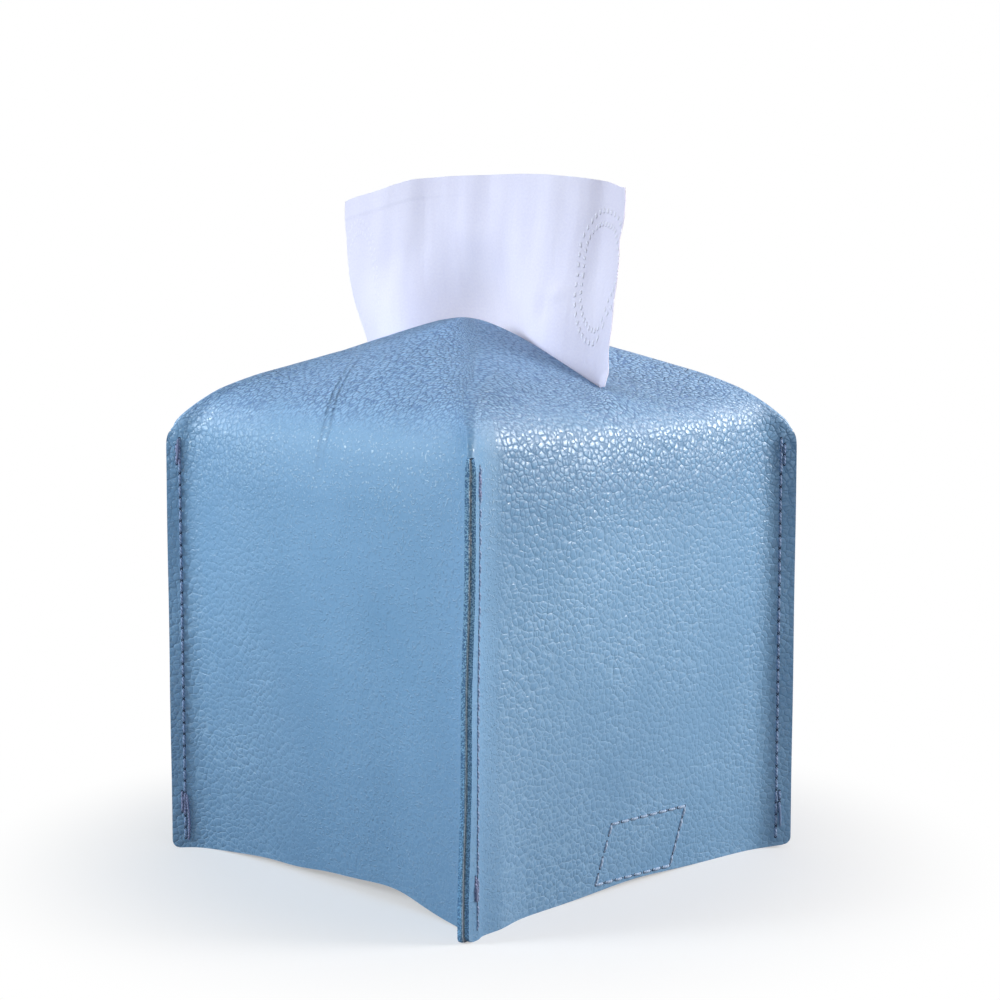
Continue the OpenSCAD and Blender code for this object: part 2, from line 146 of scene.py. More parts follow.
def outline(col, middle, pinch, z, edge_d=None):
    """Place of each column in its face's plan: along the face, and out from the middle."""
    side, s, strip, fold = col["side"], col["s"], col["strip"], col["fold"]
    r, tip_r, turn, half_turn = [mix(*v) for v in zip(FOLD_OPEN, FOLD_SHUT, (pinch, pinch**.4, pinch, pinch))]
    turn, half_turn = np.radians(turn), np.radians(half_turn)
    root_d = TIP_D - r + r * np.cos(turn) - (TIP_D - FOLD_HALF - ROOT_D) * pinch
    root_off = r * np.sin(turn)
    root_along, root_out = from_corner(root_d, root_off)
    hollow = root_out - middle - PANEL_DRAW * pinch
    along = root_along * s
    out = middle + hollow * s**3 + PANEL_DRAW * pinch * s**20
    if edge_d is None:
        start_d, start_off = TIP_D - tip_r + tip_r * np.cos(turn), tip_r * np.sin(turn)
        straight = np.hypot(start_d - root_d, start_off - root_off)
        run = strip * (straight + tip_r * (turn - half_turn))
        share = np.clip(run / np.maximum(straight, 1e-6), 0, 1)
        angle = np.where(fold > 0, half_turn * (1 - fold), turn - np.maximum(run - straight, 0) / tip_r)
        on_arc = (run > straight) | (fold > 0)
        d = np.where(on_arc, TIP_D - tip_r + tip_r * np.cos(angle), mix(root_d, start_d, share))
        off = np.where(on_arc, tip_r * np.sin(angle), mix(root_off, start_off, share))
    else:
        d, off = mix(root_d, edge_d, strip), FOLD_HALF * mix(1, head_thin(z), strip)
    strip_along, strip_out = from_corner(d, off)
    on_panel = (strip == 0) & (fold == 0)
    return side * np.where(on_panel, along, strip_along), np.where(on_panel, out, strip_out)


def hide_columns():
    """The ring's columns, counter-clockwise from above: each face's panel with the strips of its
    two seams, then the fold round the corner to the next face."""
    to_seam = 1 - (1 - np.linspace(0, 1, 12)[1:]) ** 1.5
    panel = np.concatenate([np.linspace(0, .84, 27), .84 + .16 * to_seam])
    strips, folds = [.1, .2, .35, .55, .8, 1], [.2, .4, .6, .8]
    half = [(s, 0, 0) for s in panel[1:]] + [(1, q, 0) for q in strips]
    rows = []
    for face in range(4):
        rows += [(face, -1, *v) for v in reversed(half)] + [(face, 1, 0, 0, 0)] + [(face, 1, *v) for v in half]
        rows += [(face, 1, 1, 1, q) for q in folds] + [(face, 1, 1, 1, 1)]
        rows += [((face + 1) % 4, -1, 1, 1, q) for q in reversed(folds)]
    table = np.array(rows, float)
    return {k: table[:, i] for i, k in enumerate(("face", "side", "s", "strip", "fold"))}


# The wall's rows lie closer at the hem and at the seams' rounded tops.
WALL_Z = np.concatenate([[0, .3, .6, 1.2, 2, 3, 4.5], np.linspace(6.4, 121.6, 61),
                         [122.9, 124.1, 125.1, 125.9, 126.5, 127]])
ROOF_ROWS = 44
SEAM_ROW = len(WALL_Z) - 1
LAST_ROW = SEAM_ROW + ROOF_ROWS
EDGE_FOOT_R = 2.4
# What use has done to each corner seam, counter-clockwise from the near one: how far its edge
# leans aside at the top and at the foot, how much it waves, how far it is pulled out, how deep it is
# worn at the shoulder, and how far the roof has sunk along its ridge. SINK gives the share of that
# by the distance from the middle.
SEAM_WEAR = ((1.0, 2.6, .16, 0, .75, 1.4), (.3, -.5, .3, .8, 1.5, 2.3),
             (-.3, .4, .35, 0, 1.5, 2), (.2, -.4, .3, 0, 1.5, 2.95))
SINK = np.array([[0, 0], [12, .1], [27, .65], [40, 1], [50, .97], [58, .85], [66, .6], [78, .36], [90, .62], [94, .62]])


def soft_shape(p):
    """What hanging and handling have done to the soft cover, as a shift of each of its points: the
    near seam leans and its allowance curls over, the others wave a little, the panels have shallow
    hollows and an old crease, the roof has sunk a little along its ridges, and the hem has stretched."""
    x, y, z = p[..., 0], p[..., 1], p[..., 2]
    low = np.clip(1 - z / SEAM_H, 0, 1)
    shift = np.zeros_like(p)
    for corner, (top, foot, wave, pulled, worn, sunk) in enumerate(SEAM_WEAR):
        radial, across = corner_ways(corner)
        d, off = x * radial[0] + y * radial[1], x * across[0] + y * across[1]
        tip = ramp(d, ROOT_D - .6, ROOT_D + 5.4) * bell(off, 0, 5) * ramp(z, 165, 133)
        curl = tip * (mix(top, foot, low) + wave * np.sin(z / 8.5 + 2 * corner))
        if corner == 0:
            lean = 1.1 * low * bell(x, 64, 22) * bell(y, -64, 22)
            pushed = 2.3 * bell(off, 0, 10) * bell(z, 139, 8) * ramp(d, 55, 70)
            curl += lean + pushed
        out = tip * (pulled - worn * bell(z, 128.4, 2.6))
        shift += curl[..., None] * across + out[..., None] * radial
        sag = sunk * np.interp(d, *SINK.T) * bell(off, 0, 24)
        shift[..., 2] -= np.where(d > 0, sag, 0) * ramp(z, SEAM_H, SEAM_H + 4)
    front, right = ramp(-y, 44, 56), ramp(x, 44, 56)
    hollow = .75 * bell(x, 26, 10) * ramp(z, 105, 65) * ramp(z, -20, 20)
    hollow += .4 * bell(x - .04 * (z - 125), .3, 2.2) * ramp(z, 110, 120) * ramp(z, 146, 136)
    hollow -= .35 * bell(x, -34, 13) * ramp(z, 20, 70)
    shift[..., 1] += front * hollow
    flare = 2.3 * bell(y, -53, 8) * ramp(z, 55, 0)
    flare -= .5 * bell(y, 36, 12) * ramp(z, 90, 40) * ramp(z, 18, 40)
    flare += .45 * bell(y, -22, 15) * ramp(z, 30, 90) * ramp(z, 150, 130)
    shift[..., 0] += right * flare
    hem = front * (1.7 * bell(x, 23, 14) - .95 * bell(x, -18, 11)) + right * 1.1 * bell(y, 4, 19)
    hem += 1.1 * bell(np.hypot(x - 66, y - 66), 0, math.sqrt(30))
    shift[..., 2] += np.maximum(hem * ramp(z, 22, 0), -z)
    return p + shift


# How the panels' columns meet the slit: the degrees of its oval that half a front or back panel
# (first) or half a side panel takes, counted over the columns of a panel and its two strips. On the
# way up the ridges open by this share, and the roof's section is an oval of these powers.
HALF_COLS, LIP_DEGREES = 7, (9, 81)
RIDGE_OPEN, OVAL_IN, OVAL_UP = .42, 1.2, 1.65


def hide_grid(col):
    """Outer surface of the hide, as rows of points from the hem up to the slit's lip."""
    face, long_face = col["face"], col["face"] % 2 == 0
    past = col["strip"] + col["fold"]
    n = np.where(past > 0, HALF_COLS + past, HALF_COLS * 2 / math.pi * np.arcsin(np.clip(col["s"], 0, 1)))
    grid = np.zeros((LAST_ROW + 1, len(face), 3))
    lifted = np.cos(math.pi / 2 * np.minimum(n / HALF_COLS, 1)) ** 4
    lift_share = np.where(long_face & (n <= HALF_COLS), lifted, 0)
    for row, z in enumerate(WALL_Z):
        edge_d = None if row == SEAM_ROW else TIP_D - rounded_in(z, EDGE_FOOT_R)
        x, y = face_to_plan(face, *outline(col, wall_half(face, z), 1.0, z, edge_d))
        grid[row] = np.stack([x, y, z + HEM_LIFT * lift_share * max(0, 1 - z / LIFT_H) ** 2], 1)
    angle = np.radians(90 * (face - 1) + col["side"] * n / (HALF_COLS + 2) * np.where(long_face, *LIP_DEGREES))
    slit_x = SLIT_L / 2 * np.cos(angle)
    lip = np.stack([slit_x, np.sign(np.round(np.sin(angle), 9)) * slit_half(slit_x), lip_z(slit_x)], 1)
    for row in range(1, ROOF_ROWS + 1):
        share = row / ROOF_ROWS
        pinch = max(0, 1 - (share / RIDGE_OPEN) ** 1.6) ** 1.3
        run = abs(math.cos(math.pi / 2 * share)) ** (2 / OVAL_IN)
        rise = math.sin(math.pi / 2 * share) ** (2 / OVAL_UP)
        x, y = face_to_plan(face, *outline(col, wall_half(face, SEAM_H), pinch, SEAM_H))
        x, y, z = mix(lip[:, 0], x, run), mix(lip[:, 1], y, run), mix(SEAM_H, lip[:, 2], rise)
        grid[SEAM_ROW + row] = np.stack([x, y, z], 1)
    # The bend from wall to roof is evened out, as soft leather does not hold a corner.
    calm = np.clip((1 - col["s"]) / .1, 0, 1)[:, None]
    for _ in range(40):
        for row in range(SEAM_ROW - 9, SEAM_ROW + 10):
            near = 1 - abs(row - SEAM_ROW) / 11
            grid[row] += .5 * near * calm * ((grid[row - 1] + grid[row + 1]) / 2 - grid[row])
    return soft_shape(grid)


def hide_normals(grid, folded):
    """Outward direction at each point, from the neighbours that exist. It is level at the hem."""
    wall = np.arange(len(grid))[:, None] < SEAM_ROW
    ahead = np.where((wall & np.roll(folded, -1)[None])[..., None], grid, np.roll(grid, -1, 1))
    behind = np.where((wall & np.roll(folded, 1)[None])[..., None], grid, np.roll(grid, 1, 1))
    up, down = np.vstack([grid[1:], grid[-1:]]), np.vstack([grid[:1], grid[:-1]])
    down[SEAM_ROW, folded] = grid[SEAM_ROW, folded]
    n = np.cross(ahead - behind, up - down)
    n[0, :, 2] = 0
    return n / np.maximum(np.linalg.norm(n, axis=2, keepdims=True), 1e-9)


def placed(name, data):
    """A new object in the scene that holds the data."""
    obj = bpy.data.objects.new(name, data)
    bpy.context.scene.collection.objects.link(obj)
    return obj


def finish_mesh(name, points, faces, kinds=None, sharp=35):
    """A smooth-shaded mesh object in the shared frame, from points in millimetres. kinds numbers the
    material of each face."""
    mesh = bpy.data.meshes.new(name)
    mesh.from_pydata((np.asarray(points) * MM).tolist(), [], [tuple(int(i) for i in f) for f in faces])
    if kinds is not None:
        mesh.polygons.foreach_set("material_index", np.asarray(kinds, np.int32))
    mesh.shade_smooth()
    mesh.set_sharp_from_angle(angle=math.radians(sharp))
    mesh.validate()
    return placed(name, mesh)


def mark_points(mesh, label, values):
    """Keeps one number or one direction with each point of a mesh."""
    values = np.asarray(values, np.float32)
    kind, field = ("FLOAT", "value") if values.ndim == 1 else ("FLOAT_VECTOR", "vector")
    mesh.attributes.new(label, kind, "POINT").data.foreach_set(field, values.ravel())


def give_materials(obj, *materials):
    for material in materials:
        obj.data.materials.append(material)


def leather_layer(name, rows, top, under):
    """One layer of the cover between two depths below the outer surface, as a closed mesh. Its
    faces are of three kinds: 0 the outer skin, 1 the inner skin, 2 the cut edges."""
    g, n = hide_points[rows], hide_out[rows] * hide_thin[rows][..., None]
    wall = np.array(rows)[:, None] < SEAM_ROW
    used = ~(wall & hide_folded[None])
    index = np.cumsum(used.ravel()).reshape(used.shape) - 1
    total = int(used.sum())
    points = np.concatenate([(g - depth * n)[used] for depth in (top, under)])
    cell = ~(wall[:-1] & (hide_folded | np.roll(hide_folded, -1))[None])
    nxt = np.roll(index, -1, 1)
    a, b, c, d = index[:-1], nxt[:-1], nxt[1:], index[1:]
    outer = np.stack([a, b, c, d], 2)[cell]
    inner = np.stack([a, d, c, b], 2)[cell] + total
    no_cells = np.zeros((1, g.shape[1]), bool)
    above, below, left = np.vstack([cell, no_cells]), np.vstack([no_cells, cell]), np.roll(cell, 1, 1)

    def rim(mask, first, second):
        f, s = first[mask], second[mask]
        return np.stack([f, s, s + total, f + total], 1)

    rims = np.concatenate([rim(above & ~below, nxt, index), rim(below & ~above, index, nxt),
                           rim(cell & ~left, a, d), rim(left & ~cell, d, a)])
    kinds = [0] * len(outer) + [1] * len(inner) + [2] * len(rims)
    obj = finish_mesh(name, points, np.concatenate([outer, inner, rims]), kinds)
    mark_points(obj.data, "climb", np.tile(hide_climb[rows][used], 2) * MM)
    return obj


hide_cols = hide_columns()
hide_folded = hide_cols["fold"] > 0
hide_points = hide_grid(hide_cols)
hide_out = hide_normals(hide_points, hide_folded)
wall_thin = mix(1, head_thin(WALL_Z)[:, None], hide_cols["strip"][None])
at_ridge = np.maximum(hide_cols["strip"], hide_cols["fold"])[None]
roof_thin = mix(1, HEAD_THIN, at_ridge * ramp(np.arange(1, ROOF_ROWS + 1), 9, 0)[:, None])
hide_thin = np.vstack([wall_thin, roof_thin])
hide_steps = np.linalg.norm(np.diff(hide_points, axis=0), axis=2)
hide_climb = np.vstack([np.zeros((1, hide_steps.shape[1])), np.cumsum(hide_steps, axis=0)])
hide_climb -= hide_climb[SEAM_ROW]
hide = leather_layer("hide_shell", np.arange(LAST_ROW + 1), 0, HIDE_T)


def feed(tree, node, values):
    """Gives a node's inputs, each a plain value or another node's socket."""
    for key, value in values.items():
        if isinstance(value, bpy.types.NodeSocket):
            tree.links.new(value, node.inputs[key])
        else:
            node.inputs[key].default_value = value


def put(tree, kind, values=None, **settings):
    """Adds a node with its settings and inputs."""
    node = tree.nodes.new(kind)
    for key, value in settings.items():
        setattr(node, key, value)
    feed(tree, node, values or {})
    return node


def result(tree, kind, values=None, **settings):
    """The first output of a new node."""
    return put(tree, kind, values, **settings).outputs[0]


def sums(tree, operation, *values):
    return result(tree, "ShaderNodeMath", dict(enumerate(values)), operation=operation)


def times(tree, value, *others):
    for other in others:
        value = sums(tree, "MULTIPLY", value, other)
    return value


def srgb(r, g, b):
    """Linear colour of an 8-bit screen colour."""
    return tuple(((c / 255 + .055) / 1.055) ** 2.4 if c > 10 else c / 255 / 12.92 for c in (r, g, b)) + (1,)


def blend_colour(tree, share, a, b):
    return put(tree, "ShaderNodeMix", {0: share, 6: a, 7: b}, data_type="RGBA").outputs[2]


def blend_value(tree, share, a, b):
    return result(tree, "ShaderNodeMix", {0: share, 2: a, 3: b}, data_type="FLOAT")


def in_range(tree, value, low, high, to_low=0.0, to_high=1.0):
    inputs = {0: value, 1: low, 2: high, 3: to_low, 4: to_high}
    return result(tree, "ShaderNodeMapRange", inputs, interpolation_type="SMOOTHSTEP")


def noise(tree, place, scale, detail):
    return result(tree, "ShaderNodeTexNoise", {"Vector": place, "Scale": scale, "Detail": detail})


def bumped(tree, height, depth, strength):
    """Normal of a surface with a relief of a depth in metres."""
    return result(tree, "ShaderNodeBump", {"Strength": strength, "Distance": depth, "Height": height})


def here(tree):
    """The Object coordinates."""
    return put(tree, "ShaderNodeTexCoord").outputs["Object"]


def split(tree, place):
    return put(tree, "ShaderNodeSeparateXYZ", {0: place}).outputs


def shader_group(name, inputs, outputs):
    """An empty shader node group with named sockets, with its given inputs and its output node.
    inputs are names with a first value, or None for a place. Each output is a value."""
    group = bpy.data.node_groups.new(name, "ShaderNodeTree")
    for label, value in inputs.items():
        kind = "NodeSocketVector" if value is None else "NodeSocketFloat"
        made = group.interface.new_socket(label, in_out="INPUT", socket_type=kind)
        if value is not None:
            made.default_value = value
    for label in outputs:
        group.interface.new_socket(label, in_out="OUTPUT", socket_type="NodeSocketFloat")
    return group, group.nodes.new("NodeGroupInput").outputs, group.nodes.new("NodeGroupOutput")


def grain_group():
    """Pebbled grain: soft domed cells about two millimetres wide between fine creases. Height is in
    shares of the pebble's height; Crease is wide and soft, and Line is its thin bottom."""
    group, given, made = shader_group("pebbled_grain", {"Position": None, "Pebble Size": .0017},
                                      ("Height", "Crease", "Line", "Cell Tone", "Patch"))
    per_cell = sums(group, "DIVIDE", 1.0, given["Pebble Size"])
    scaled = result(group, "ShaderNodeVectorMath", {0: given["Position"], "Scale": per_cell}, operation="SCALE")
    stir = put(group, "ShaderNodeTexNoise", {"Vector": scaled, "Scale": .6, "Detail": 1.0}).outputs["Color"]
    wander = result(group, "ShaderNodeVectorMath", {0: stir, 1: (.5, .5, .5)}, operation="SUBTRACT")
    pushed = result(group, "ShaderNodeVectorMath", {0: wander, 1: (.85, .85, .85), 2: scaled}, operation="MULTIPLY_ADD")
    edge, cell = [put(group, "ShaderNodeTexVoronoi", {"Vector": pushed, "Scale": 1.0}, feature=feature).outputs
                  for feature in ("DISTANCE_TO_EDGE", "F1")]
    patch, fine = noise(group, scaled, .07, 2.0), noise(group, scaled, 3.6, 2.0)
    round_top = sums(group, "SUBTRACT", 1.0, times(group, cell["Distance"], cell["Distance"]))
    dome = sums(group, "MULTIPLY_ADD", in_range(group, edge["Distance"], 0.0, .2), .22, round_top)
    tall = times(group, dome, in_range(group, patch, .3, .7, .7, 1.2))
    feed(group, made, {
        "Height": sums(group, "MULTIPLY_ADD", fine, .12, tall),
        "Crease": sums(group, "SUBTRACT", 1.0, in_range(group, edge["Distance"], 0.0, .3)),
        "Line": sums(group, "SUBTRACT", 1.0, in_range(group, edge["Distance"], .02, .14)),
        "Cell Tone": cell["Color"], "Patch": patch})
    return group


def new_material(name):
    material = bpy.data.materials.new(name)
    material.use_nodes = True
    tree = material.node_tree
    return material, tree, tree.nodes["Principled BSDF"]


pebbled_grain = grain_group()
# The colours of the painted highlight in the wall's creases and of the painted glints on the front shoulder.
PAINTED_CREASE_HIGHLIGHT, PAINTED_GLINT = srgb(150, 188, 218), srgb(162, 200, 228)
ROOF_PEBBLE, ROOF_RELIEF, ROOF_STRETCH = .63, 2.6, .6


def pebbled_leather(name, base, deep, pale, painted_lit_crest=None, painted_shaded_trough=None, pebble=.0017, height=.0002, rough=.33):
    """Dyed, pebbled leather with a soft finish. On the walls the thin bottoms of the creases are painted
    lighter as a painted highlight and the creases darker as painted shade, the dye varies in broad
    patches, the colour is darker low at the front as painted shade, and hands have smoothed the front,
    where pale flecks on the shoulder are painted glints. Over the shoulders the pebbles stand higher,
    and on the roof the hide is drawn into fine ripples that run down from its ridges, painted darker
    between them and lighter on their crests as painted shade and light, and crosses an old fold in the
    middle of the front, whose crease lines are painted darker as painted shade."""
    material, tree, surface = new_material(name)
    place = here(tree)
    at = split(tree, place)
    climb = put(tree, "ShaderNodeAttribute", attribute_name="climb").outputs["Fac"]
    aside = times(tree, sums(tree, "ADD", at["X"], at["Y"]), ROOF_STRETCH)
    pull = sums(tree, "SQRT", sums(tree, "MULTIPLY_ADD", aside, aside, .00002))
    flat_x, flat_y = [times(tree, at[axis], ROOF_STRETCH) for axis in ("X", "Y")]
    drawn = result(tree, "ShaderNodeCombineXYZ", {0: flat_x, 1: flat_y, 2: sums(tree, "ADD", climb, pull)})
    on_wall, on_roof = [
        put(tree, "ShaderNodeGroup", {"Position": where, "Pebble Size": size}, node_tree=pebbled_grain).outputs
        for where, size in ((place, pebble), (drawn, pebble * ROOF_PEBBLE))]

    over = in_range(tree, sums(tree, "MULTIPLY_ADD", on_wall["Patch"], .012, at["Z"]), .133, .146)
    shoulder = in_range(tree, at["Z"], .092, .122)
    on_front = in_range(tree, at["Y"], -.056, -.05, 1.0, 0.0)
    kept = times(tree, in_range(tree, at["X"], -.045, .005, 1.3, .4), in_range(tree, at["Z"], .05, .1, 1.0, .55))
    standing = sums(tree, "MAXIMUM", in_range(tree, at["Y"], -.056, -.05), kept)

    broad = noise(tree, place, 13.0, 2.0)
    patch = sums(tree, "MULTIPLY_ADD", broad, .6, times(tree, on_wall["Patch"], .4))
    toned = blend_colour(tree, in_range(tree, patch, .36, .62), base, pale)
    # Painted shade: the colour is darker low on the walls, towards the hem, and most on the front half.
    painted_low_shade = times(tree, in_range(tree, at["Z"], 0.0, .085, .34, 0.0), in_range(tree, at["Y"], -.02, .045, 1.0, .1))
    toned = blend_colour(tree, painted_low_shade, toned, deep)
    speck = blend_colour(tree, times(tree, on_wall["Cell Tone"], .14), toned, pale)
    # Painted highlight: the thin bottoms of the wall's creases are painted lighter, less over the shoulder.
    painted_crease_light = times(tree, on_wall["Line"], standing, in_range(tree, patch, .35, .6, .15, .45),
                   blend_value(tree, shoulder, 1.0, .1))
    with_crease_highlight = blend_colour(tree, painted_crease_light, speck, PAINTED_CREASE_HIGHLIGHT)
    # Painted shade: the wider creases are painted darker in the deep colour, much more over the shoulder.
    sunk = times(tree, on_wall["Crease"], standing, blend_value(tree, shoulder, .1, .55))
    wall = blend_colour(tree, sunk, with_crease_highlight, deep)
    # Painted shade and light on the roof's ripples: darker between them, lighter on their crests.
    between = sums(tree, "MULTIPLY_ADD", on_roof["Crease"], .5, times(tree, on_roof["Line"], .5))
    roof = blend_colour(tree, between, painted_lit_crest or pale, painted_shaded_trough or deep)

    # An old fold across the front: two crease lines, pressed in by the bump and painted darker as painted shade.
    past_edge = sums(tree, "MAXIMUM", sums(tree, "ADD", at["Y"], .059), 0.0)
    bent = sums(tree, "MULTIPLY_ADD", past_edge, .62, sums(tree, "SUBTRACT", at["X"], .0021))
    bent = sums(tree, "MULTIPLY_ADD", on_roof["Cell Tone"], .0011, bent)
    bent = sums(tree, "ABSOLUTE", sums(tree, "MULTIPLY_ADD", broad, .004, bent))
    two_lines = in_range(tree, sums(tree, "ABSOLUTE", sums(tree, "SUBTRACT", bent, .0012)), .0001, .0009, 1.0, 0.0)
    fold = times(tree, two_lines, in_range(tree, on_roof["Cell Tone"], .15, .6, .4, 1.0),
                 in_range(tree, at["Z"], .112, .136), in_range(tree, at["Y"], -.046, -.026, 1.0, 0.0))

    # Painted glints: pale flecks over the front shoulder, in the glint colour.
    grit = noise(tree, place, 1500.0, 1.0)
    painted_glint = times(tree, in_range(tree, grit, .57, .69), on_front, shoulder,
                  in_range(tree, at["Z"], .126, .138, .6, 0.0))
    skin = blend_colour(tree, painted_glint, blend_colour(tree, over, wall, roof), PAINTED_GLINT)
    # Painted shade in the old fold's crease lines.
    colour = blend_colour(tree, times(tree, fold, blend_value(tree, over, .45, .75)), skin, deep)
    worn = in_range(tree, standing, .4, 1.0, .8, 0.0)
    matt = sums(tree, "MAXIMUM", blend_value(tree, over, on_wall["Crease"], .8), worn)
    matt = times(tree, in_range(tree, matt, 0, 1, rough, rough + .3), in_range(tree, grit, .56, .68, 1.0, .5))
    relief = sums(tree, "MAXIMUM", times(tree, standing, blend_value(tree, shoulder, 1.0, 1.2)),
                  times(tree, over, ROOF_RELIEF))
    grains = times(tree, blend_value(tree, over, on_wall["Height"], on_roof["Height"]), relief)
    worked = sums(tree, "MULTIPLY_ADD", fold, blend_value(tree, over, -.6, -1.8), grains)
    tall = sums(tree, "MULTIPLY_ADD", in_range(tree, grit, .56, .68), in_range(tree, standing, .4, 1.0, .5, .1), worked)
    feed(tree, surface, {"Base Color": colour, "Roughness": matt, "Specular IOR Level": .8,
                         "Normal": bumped(tree, tall, height, 1.0)})
    return material


def fibre_group():
    """Bare fibres of cut leather, and the blotches in which dye rubs off them."""
    group, given, made = shader_group("bare_fibres", {"Position": None, "Fineness": 2400.0}, ("Fibre", "Rubbed"))
    feed(group, made, {"Fibre": noise(group, given["Position"], given["Fineness"], 3.0),
                       "Rubbed": noise(group, given["Position"], 420.0, 2.0)})
    return group


bare_fibres = fibre_group()


def raw_edge(name, base, dark, fineness=2400.0, foot=None, head=None):
    """Cut edge of leather: bare fibres, dark with dye, matte and grainy. Near the hem the edge is darker,
    and near the seam's top it is rubbed off."""
    material, tree, surface = new_material(name)
    place = here(tree)
    bare = put(tree, "ShaderNodeGroup", {"Position": place, "Fineness": fineness}, node_tree=bare_fibres).outputs
    # The foot colour makes the edge darker towards the hem.
    if foot:
        base = blend_colour(tree, in_range(tree, split(tree, place)["Z"], .01, .1), foot, base)
    if head:
        high = in_range(tree, split(tree, place)["Z"], .07, .115)
        rubbed = times(tree, high, in_range(tree, bare["Rubbed"], .4, .6))
        base = blend_colour(tree, rubbed, base, head)
    feed(tree, surface, {"Base Color": blend_colour(tree, in_range(tree, bare["Fibre"], .42, .6), dark, base),
                         "Roughness": .85, "Normal": bumped(tree, bare["Fibre"], .00025, .9)})
    return material


# deep is the painted shade in creases and low on the walls, pale a random lighter tone, and the crest and trough
# colours paint light and shade on the roof's ripples.
hide_leather = pebbled_leather("blue_pebbled_leather", srgb(106, 154, 194), srgb(64, 108, 148), srgb(114, 161, 201),
                               painted_lit_crest=srgb(142, 182, 220), painted_shaded_trough=srgb(80, 120, 170))
flesh_side = raw_edge("flesh_side", srgb(150, 168, 188), srgb(120, 140, 165), 700.0)
hide_edge = raw_edge("hide_cut_edge", srgb(170, 222, 255), srgb(90, 138, 188), foot=srgb(146, 206, 250))
give_materials(hide, hide_leather, flesh_side, hide_edge)
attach(hide, "cover")
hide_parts("leather_cover")

# Lining: a thin, light grey woven-backed sheet, glued all over the hide's inner face and cut
# with it at the seams. It shows as the pale line in a seam's edge, inside the slit and below.
GLUE_GAP = .01
lining_rows = np.concatenate([np.arange(2, SEAM_ROW, 2), [SEAM_ROW], np.arange(SEAM_ROW + 2, LAST_ROW, 2), [LAST_ROW]])
lining = leather_layer("lining_sheet", lining_rows, HIDE_T + GLUE_GAP, HIDE_T + LINING_T)


def weave_group():
    """Thin woven cloth: crossing threads as fine waves, with a mottled tone."""
    group, given, made = shader_group("crossing_threads", {"Position": None, "Threads": 2200.0}, ("Weave", "Tone"))
    inputs = {"Vector": given["Position"], "Scale": sums(group, "DIVIDE", given["Threads"], 6.283), "Distortion": .4}
    waves = [put(group, "ShaderNodeTexWave", inputs, bands_direction=way).outputs["Fac"] for way in ("DIAGONAL", "Z")]
    weave = times(group, *waves)
    mottle = times(group, noise(group, given["Position"], 300.0, 3.0), .5)
    feed(group, made, {"Weave": weave, "Tone": sums(group, "MULTIPLY_ADD", weave, .5, mottle)})
    return group


crossing_threads = weave_group()


def woven_cloth(name, base, dark, threads=2200.0):
    """Cloth in two tones. threads is their number in a metre."""
    material, tree, surface = new_material(name)
    inputs = {"Position": here(tree), "Threads": threads}
    cloth = put(tree, "ShaderNodeGroup", inputs, node_tree=crossing_threads).outputs
    feed(tree, surface, {"Base Color": blend_colour(tree, cloth["Tone"], dark, base), "Roughness": .8,
                         "Normal": bumped(tree, cloth["Weave"], .0001, .6)})
    return material


lining_cloth = woven_cloth("grey_lining_cloth", srgb(198, 206, 215), srgb(150, 160, 174))
lining_edge = raw_edge("lining_cut_edge", srgb(150, 184, 204), srgb(96, 130, 156), head=srgb(230, 238, 244))
give_materials(lining, lining_cloth, lining_cloth, lining_edge)
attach(lining, "cover")
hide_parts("lining")

# Seam threads: one bonded thread runs up each corner seam through both layers, four millimetres
# inside the cut edges, in lockstitch with seven stitches to 25 mm.
THREAD_D, PITCH, STITCH_L, STITCH_START, SEAM_STITCHES = .8, 3.6, 2.9, 4.4, 33


def node_tree(name, inputs):
    """An empty tree for geometry, with its named inputs as they are given and its output node."""
    tree = bpy.data.node_groups.new(name, "GeometryNodeTree")
    tree.interface.new_socket("Geometry", in_out="INPUT", socket_type="NodeSocketGeometry")
    for label, value in inputs.items():
        kind = {int: "NodeSocketInt", float: "NodeSocketFloat", tuple: "NodeSocketVector"}[type(value)]
        tree.interface.new_socket(label, in_out="INPUT", socket_type=kind).default_value = value
    tree.interface.new_socket("Geometry", in_out="OUTPUT", socket_type="NodeSocketGeometry")
    return tree, tree.nodes.new("NodeGroupInput").outputs, tree.nodes.new("NodeGroupOutput")


def joined(tree, *parts):
    join = put(tree, "GeometryNodeJoinGeometry")
    for part in parts:
        tree.links.new(part, join.inputs[0])
    return join.outputs[0]


def point(tree, **parts):
    return result(tree, "ShaderNodeCombineXYZ", parts)


